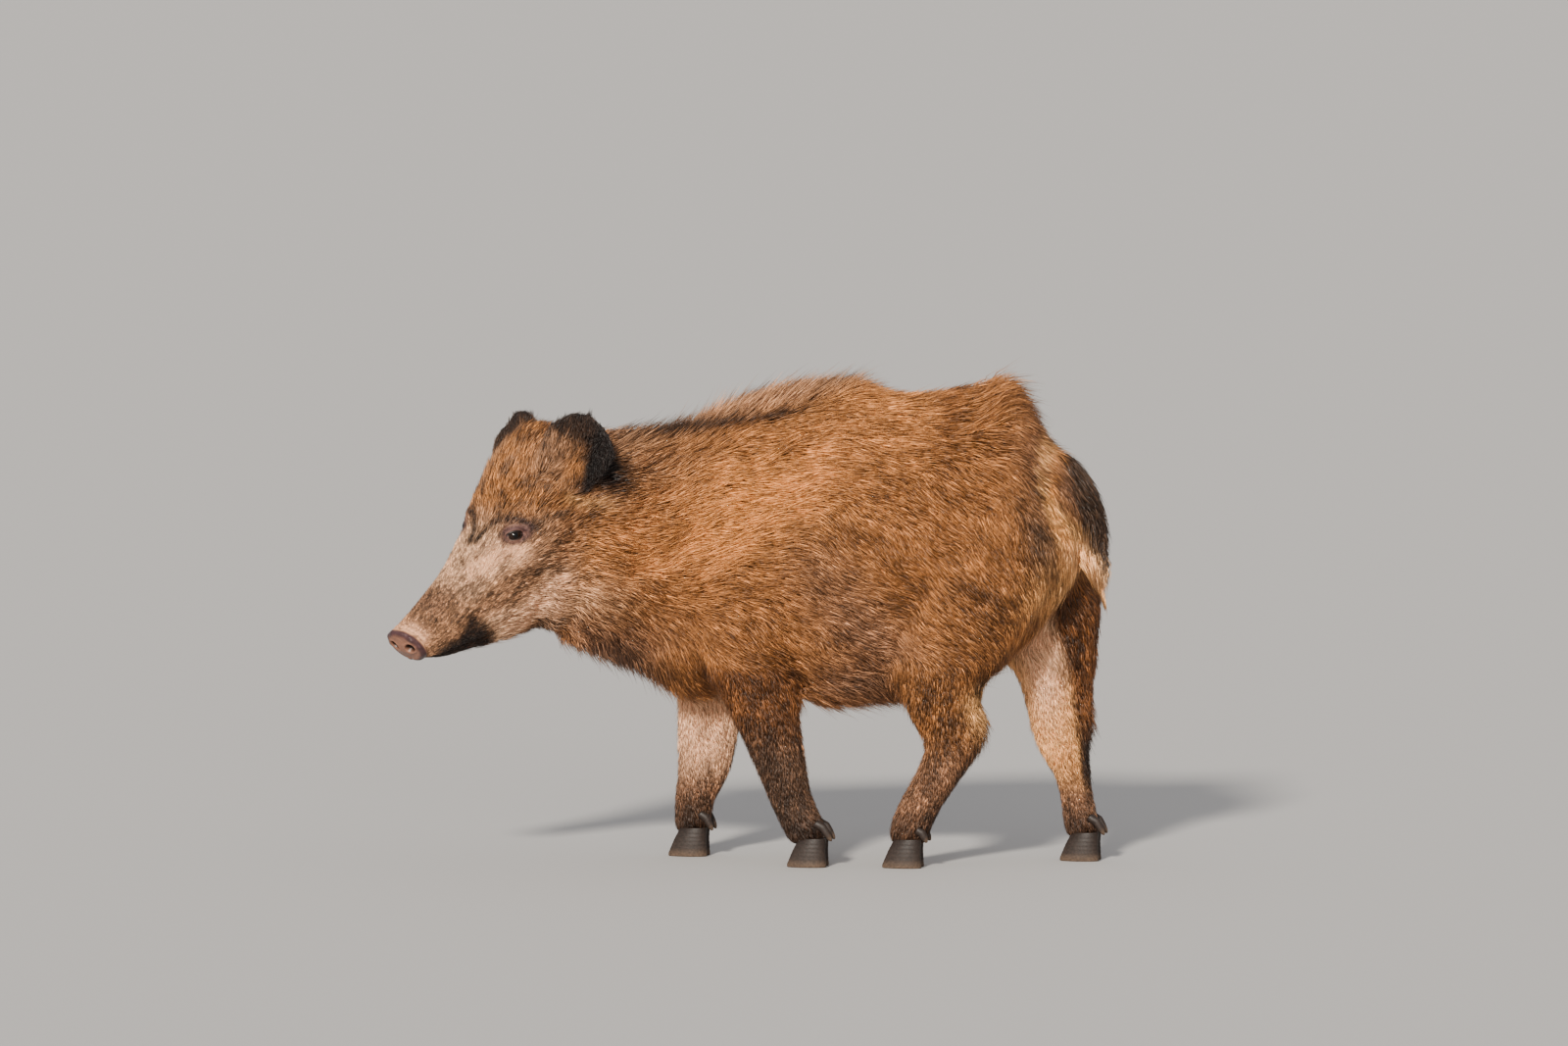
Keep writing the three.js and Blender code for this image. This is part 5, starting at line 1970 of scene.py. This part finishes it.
@dataclass(frozen=True)
class EyeFinish(Finish):
    """Dark brown iris with fine rays, a wide pupil and a wet gloss."""

    name: str = "boar_eye"

    def dress(self, tree: bpy.types.NodeTree, shader: bpy.types.Node) -> None:
        """Colour by distance from the pupil."""
        far = self.attribute(tree, "from_pupil")
        size = new_node(tree, "Math", {0: far.outputs["Fac"], 1: 11.5}, "DIVIDE")
        ramp = new_node(tree, "ValToRGB", {"Fac": size.outputs[0]})
        stops = ramp.color_ramp.elements
        stops[0].position, stops[0].color = 0.0, (0.002, 0.002, 0.002, 1)
        stops[1].position, stops[1].color = 0.30, (0.002, 0.002, 0.002, 1)
        for at, colour in ((0.34, (0.008, 0.0035, 0.002, 1)), (0.56, (0.012, 0.0055, 0.003, 1)),
                           (0.64, (0.003, 0.002, 0.0015, 1)), (0.74, (0.03, 0.017, 0.013, 1))):
            stop = stops.new(at)
            stop.color = colour
        grain = self.mottle(tree, ramp.outputs["Color"], 900.0, 0.35)
        tree.links.new(grain.outputs["Color"], shader.inputs["Base Color"])
        shader.inputs["Roughness"].default_value = 0.16
        shader.inputs["Specular IOR Level"].default_value = 0.12
        shader.inputs["Coat Weight"].default_value = 0.22
        shader.inputs["Coat Roughness"].default_value = 0.03


# ---- stage ----------------------------------------------------------------------------------------------------


@dataclass
class Stage:
    """Floor, light and camera."""

    body: BodyFrame
    azimuth: float = 8.0
    elevation: float = 3.5
    distance: float = 17.3
    frame_width: float = 2.08  # metres across the picture at the boar
    aim_right: float = 0.0468
    aim_up: float = 0.4479
    sensor: float = 36.0

    def build(self) -> None:
        """Sets floor, light and camera."""
        self.floor()
        self.lights()
        self.camera()

    def camera(self) -> None:
        """The camera, low and far off, from the boar's left."""
        a, e = math.radians(self.azimuth), math.radians(self.elevation)
        right = Vector((math.cos(a), math.sin(a), 0))
        back = Vector((math.sin(a) * math.cos(e), -math.cos(a) * math.cos(e), math.sin(e)))
        up = back.cross(right)
        data = bpy.data.cameras.new("camera")
        data.sensor_width = self.sensor
        data.lens = self.sensor * self.distance / self.frame_width
        data.clip_end = 400.0
        cam = bpy.data.objects.new("camera", data)
        aim = Vector(self.body.origin) + right * self.aim_right + up * self.aim_up
        cam.location = aim + back * self.distance
        cam.rotation_mode = "QUATERNION"
        cam.rotation_quaternion = (-back).to_track_quat("-Z", "Y")
        bpy.context.scene.collection.objects.link(cam)
        bpy.context.scene.camera = cam

    def floor(self) -> None:
        """A pale floor that reaches past the picture."""
        grid = Surface(np.array([[-150.0, -60.0, 0], [150, -60, 0], [150, 200, 0], [-150, 200, 0]]),
                       np.array([[0, 1, 2], [0, 2, 3]]))
        floor = mesh_object("floor", grid)
        mat = bpy.data.materials.new("pale_floor")
        mat.use_nodes = True
        shader = mat.node_tree.nodes["Principled BSDF"]
        shader.inputs["Base Color"].default_value = (0.40, 0.39, 0.38, 1)
        shader.inputs["Roughness"].default_value = 0.9
        floor.data.materials.append(mat)

    def lights(self) -> None:
        """A warm key from beside the camera, a low broad fill and a pale surround."""
        for name, energy, spread, colour, tilt, turn in (
            ("key", 7.2, 6, (1.0, 0.93, 0.83), 66, -6),
            ("fill", 1.9, 40, (1.0, 0.95, 0.88), 84, 10),
        ):
            sun = bpy.data.lights.new(name, "SUN")
            sun.energy, sun.angle, sun.color = energy, math.radians(spread), colour
            lamp = bpy.data.objects.new(name, sun)
            lamp.rotation_euler = (math.radians(tilt), 0, math.radians(turn))
            bpy.context.scene.collection.objects.link(lamp)
        world = bpy.data.worlds.new("surround")
        world.use_nodes = True
        sky = world.node_tree.nodes["Background"]
        sky.inputs["Color"].default_value = (0.97, 0.97, 1.0, 1)
        sky.inputs["Strength"].default_value = 0.66
        bpy.context.scene.world = world


def main() -> None:
    """Builds the boar and its stage."""
    logging.basicConfig(level=logging.INFO, format="%(name)s %(message)s")
    body, head = BodyFrame.make(), HeadFrame.make()
    Stage(body).build()
    skin = Skin(body, head)
    skin.form()
    skin.dress()
    for side, name in ((1.0, "eye_left"), (-1.0, "eye_right")):
        Eyeball(EyePlan.make(head, side), name).build()
    for foot in ("front_left", "front_right", "hind_left", "hind_right"):
        for side in ("outer", "inner"):
            Hoof(f"hoof_{foot}_{side}").build()
            Dewclaw(f"dewclaw_{foot}_{side}").build()
    Pelt(skin).grow()


if __name__ == "__main__":
    main()
